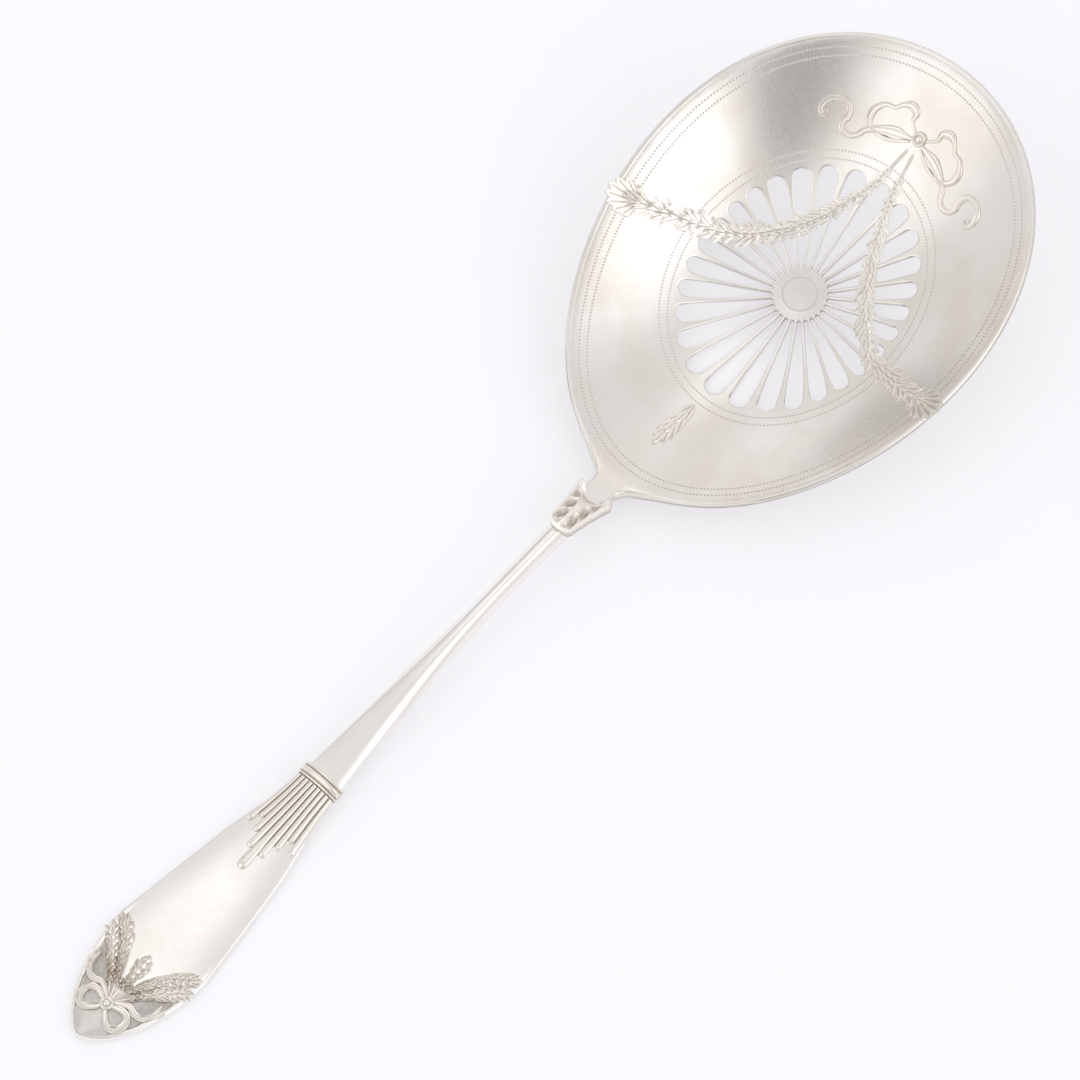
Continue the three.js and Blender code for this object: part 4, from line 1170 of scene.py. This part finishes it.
def silver(name, colours, rough_low, rough_high, oxide_and_shade_depth, corner_share, engraved=False):
    material = bpy.data.materials.new(name)
    material.use_nodes = True
    tree = material.node_tree
    tree.nodes.clear()
    place = add_node(tree, "TexCoord", output="Object")
    patches, metal = toned_metal(tree, place, colours)
    scratch = crossed_scratches(tree, place)
    fine_rough = add_node(tree, "MapRange", scratch, 0.1, 0.45, rough_low, rough_high)
    toned_rough = add_node(tree, "MapRange", patches, 0.0, 1.0, -0.08, 0.08)
    rough = add_node(tree, "Math", fine_rough, toned_rough, operation="ADD")
    # Dark oxide lies in hollows: the piece's own darkness attribute and whatever is a tight corner.
    # That attribute also holds painted shade: the bowl's slot walls, a line under its lip, the ribbons'
    # folds
    oxide_and_shade = add_node(tree, "Attribute", output="Fac", attribute_name="oxide_and_shade")
    open_share = add_node(tree, "AmbientOcclusion", named={"Distance": CORNER_REACH}, output="AO", samples=8)
    corner = add_node(tree, "MapRange", open_share, 0.05, 0.6, corner_share, 0.0)
    mark = add_node(tree, "Math", oxide_and_shade, corner, operation="MAXIMUM")
    height = add_node(tree, "Math", scratch, 0.15, operation="MULTIPLY")
    for uv_map, offset in PUNCHED_ROWS if engraved else ():
        dots = punched_row(tree, uv_map, offset * MM)
        pale = add_node(tree, "Math", dots, 0.5, operation="MULTIPLY")
        mark = add_node(tree, "Math", mark, pale, operation="MAXIMUM")
        height = add_node(tree, "Math", dots, -2.5, height, operation="MULTIPLY_ADD")
    grain = add_node(tree, "TexNoise", named={"Vector": place, "Scale": 1 / OXIDE_GRAIN, "Detail": 2.0})
    uneven = add_node(tree, "MapRange", grain, 0.3, 0.7, 0.75 * oxide_and_shade_depth, oxide_and_shade_depth)
    dark = add_node(tree, "Math", mark, uneven, operation="MULTIPLY")
    named = {0: dark, 6: metal, 7: linear(OXIDE_AND_SHADE)}
    colour = add_node(tree, "Mix", named=named, output=2, data_type="RGBA")
    rougher = add_node(tree, "Math", dark, 0.25, rough, operation="MULTIPLY_ADD")
    bump = add_node(tree, "Bump", named={"Strength": 0.35, "Distance": BUMP_DEPTH, "Height": height})
    named = {"Base Color": colour, "Metallic": 1.0, "Roughness": rougher, "Normal": bump}
    shader = add_node(tree, "BsdfPrincipled", named=named)
    add_node(tree, "OutputMaterial", shader)
    return material


# %% Four finishes of one metal
# Satin sheet silver with punched lines: soft reflections, and rows of small brown dots
bowl_silver = silver("punched_satin_silver", SATIN, 0.2, 0.32, 0.7, 0.4, engraved=True)
# Forged silver, filed and rubbed satin: one soft bright streak along the stem. Its colours are painted a
# little lighter than the bowl's, as painted light.
stem_silver = silver("forged_satin_silver", SATIN_PAINTED_LIGHTER, 0.2, 0.32, 0.6, 0.5)
# Chased silver, blackened and rubbed back: bright tops and brown hollows, so the relief reads
chased_silver = silver("oxidised_chased_silver", HANDLED, 0.16, 0.28, 0.5, 0.45)
# Chased silver worn paler inside the bowl: cream leaves and ribbons with thin brown strokes
pale_silver = silver("worn_chased_silver", RUBBED, 0.2, 0.34, 0.55, 0.15)
for piece in PIECES:
    worn = piece.name.startswith(("leaf_", "laurel_sprig", "ribbon"))
    finish = {bowl: bowl_silver, stem: stem_silver}.get(piece, pale_silver if worn else chased_silver)
    piece.data.materials.append(finish)
print("pieces with a finish:", len(PIECES))

# %% [markdown]
# ## Light, floor and camera
#
# The spoon lies on a white sheet in a pale room, and silver shows what it mirrors. Lamps would leave
# hard points of light on it. Instead the room itself glows: a plain level all round, brighter where
# its windows are and dimmer on one side, which draws the soft dark patches. The sheet's own glow is
# seen by the camera and in the silver alone, so it adds no light and keeps the spoon's shadow.

# %% The white sheet
FLOOR_SIZE, FLOOR_DROP = 6.0, 0.05 * MM
PAPER_GLOW = 0.41
bpy.ops.object.select_all(action="DESELECT")
bpy.ops.mesh.primitive_plane_add(size=FLOOR_SIZE, location=(0, 0, -FLOOR_DROP))
floor = bpy.context.object
floor.name = "floor"
paper = bpy.data.materials.new("white_paper")
paper.use_nodes = True
sheet = paper.node_tree
sheet.nodes.clear()
ray_kinds = ("Is Camera Ray", "Is Glossy Ray", "Is Transmission Ray")
rays = [add_node(sheet, "LightPath", output=kind) for kind in ray_kinds]
seen = add_node(sheet, "Math", rays[0], rays[1], operation="ADD")
seen = add_node(sheet, "Math", seen, rays[2], operation="ADD", use_clamp=True)
glow_share = add_node(sheet, "Math", seen, PAPER_GLOW, operation="MULTIPLY")
paper_look = {"Base Color": linear("#D0D0D3"), "Roughness": 0.9, "Specular IOR Level": 0.1}
paper_look |= {"Emission Color": linear("#FAFAFE"), "Emission Strength": glow_share}
add_node(sheet, "OutputMaterial", add_node(sheet, "BsdfPrincipled", named=paper_look))
floor.data.materials.append(paper)

# %% The room, with its windows and its dim side
ROOM_LEVEL = 0.8
# Of each window: the way it lies, where its full glow ends, where it fades out, and its strength
WINDOWS = (
    ((0.29, 0.25, 0.92), 6, 21, 0.38),
    ((-0.74, 0.19, 0.645), 12, 37, 0.40),
    ((0.00, -0.76, 0.65), 9, 25, 0.65),
    ((0.36, -0.60, 0.71), 6, 18, 0.40),
    ((-0.61, -0.47, 0.635), 6, 26, -0.38),
    ((-0.16, 0.26, 0.95), 5, 16, -0.08),
    ((0.51, 0.75, 0.42), 4, 20, 0.14),
    ((0.72, 0.28, 0.63), 5, 20, 0.09),
    ((0.30, 0.945, 0.12), 4, 15, -0.38),
)
world = bpy.data.worlds.new("soft_room")
bpy.context.scene.world = world
world.use_nodes = True
sky = world.node_tree
sky.nodes.clear()
look = add_node(sky, "TexCoord", output="Generated")
level = ROOM_LEVEL
for direction, inner, outer, strength in WINDOWS:
    toward = Vector(direction).normalized()
    along = add_node(sky, "VectorMath", look, toward, output="Value", operation="DOT_PRODUCT")
    near, far = math.cos(math.radians(inner)), math.cos(math.radians(outer))
    glow = add_node(sky, "MapRange", along, far, near, 0.0, strength, interpolation_type="SMOOTHSTEP")
    level = add_node(sky, "Math", glow, level, operation="ADD")
add_node(sky, "OutputWorld", add_node(sky, "Background", linear("#FFFFFF"), level))
print("windows in the room:", len(WINDOWS))

# %% The camera
CAMERA_AZIMUTH = math.radians(-137.762)
CAMERA_ELEVATION = math.radians(67.3385)
CAMERA_DISTANCE = 0.750
CAMERA_TARGET = Vector((5.027 * MM, 3.1105 * MM, 0))
FOCAL_PIXELS, FRAME_PIXELS = 4525.16, 1080
SENSOR_WIDTH = 36.0

camera_data = bpy.data.cameras.new("photo_camera")
camera_data.sensor_width = SENSOR_WIDTH
camera_data.lens = FOCAL_PIXELS / FRAME_PIXELS * SENSOR_WIDTH
camera_data.clip_start, camera_data.clip_end = 0.01, 10.0
camera = bpy.data.objects.new("photo_camera", camera_data)
flat = math.cos(CAMERA_ELEVATION)
back = (flat * math.cos(CAMERA_AZIMUTH), flat * math.sin(CAMERA_AZIMUTH), math.sin(CAMERA_ELEVATION))
camera.location = CAMERA_TARGET + Vector(back) * CAMERA_DISTANCE
camera.rotation_euler = (-Vector(back)).to_track_quat("-Z", "Y").to_euler()
bpy.context.scene.collection.objects.link(camera)
bpy.context.scene.camera = camera
bpy.context.scene.view_settings.view_transform = "Standard"
print("lens:", round(camera_data.lens, 1), "mm")
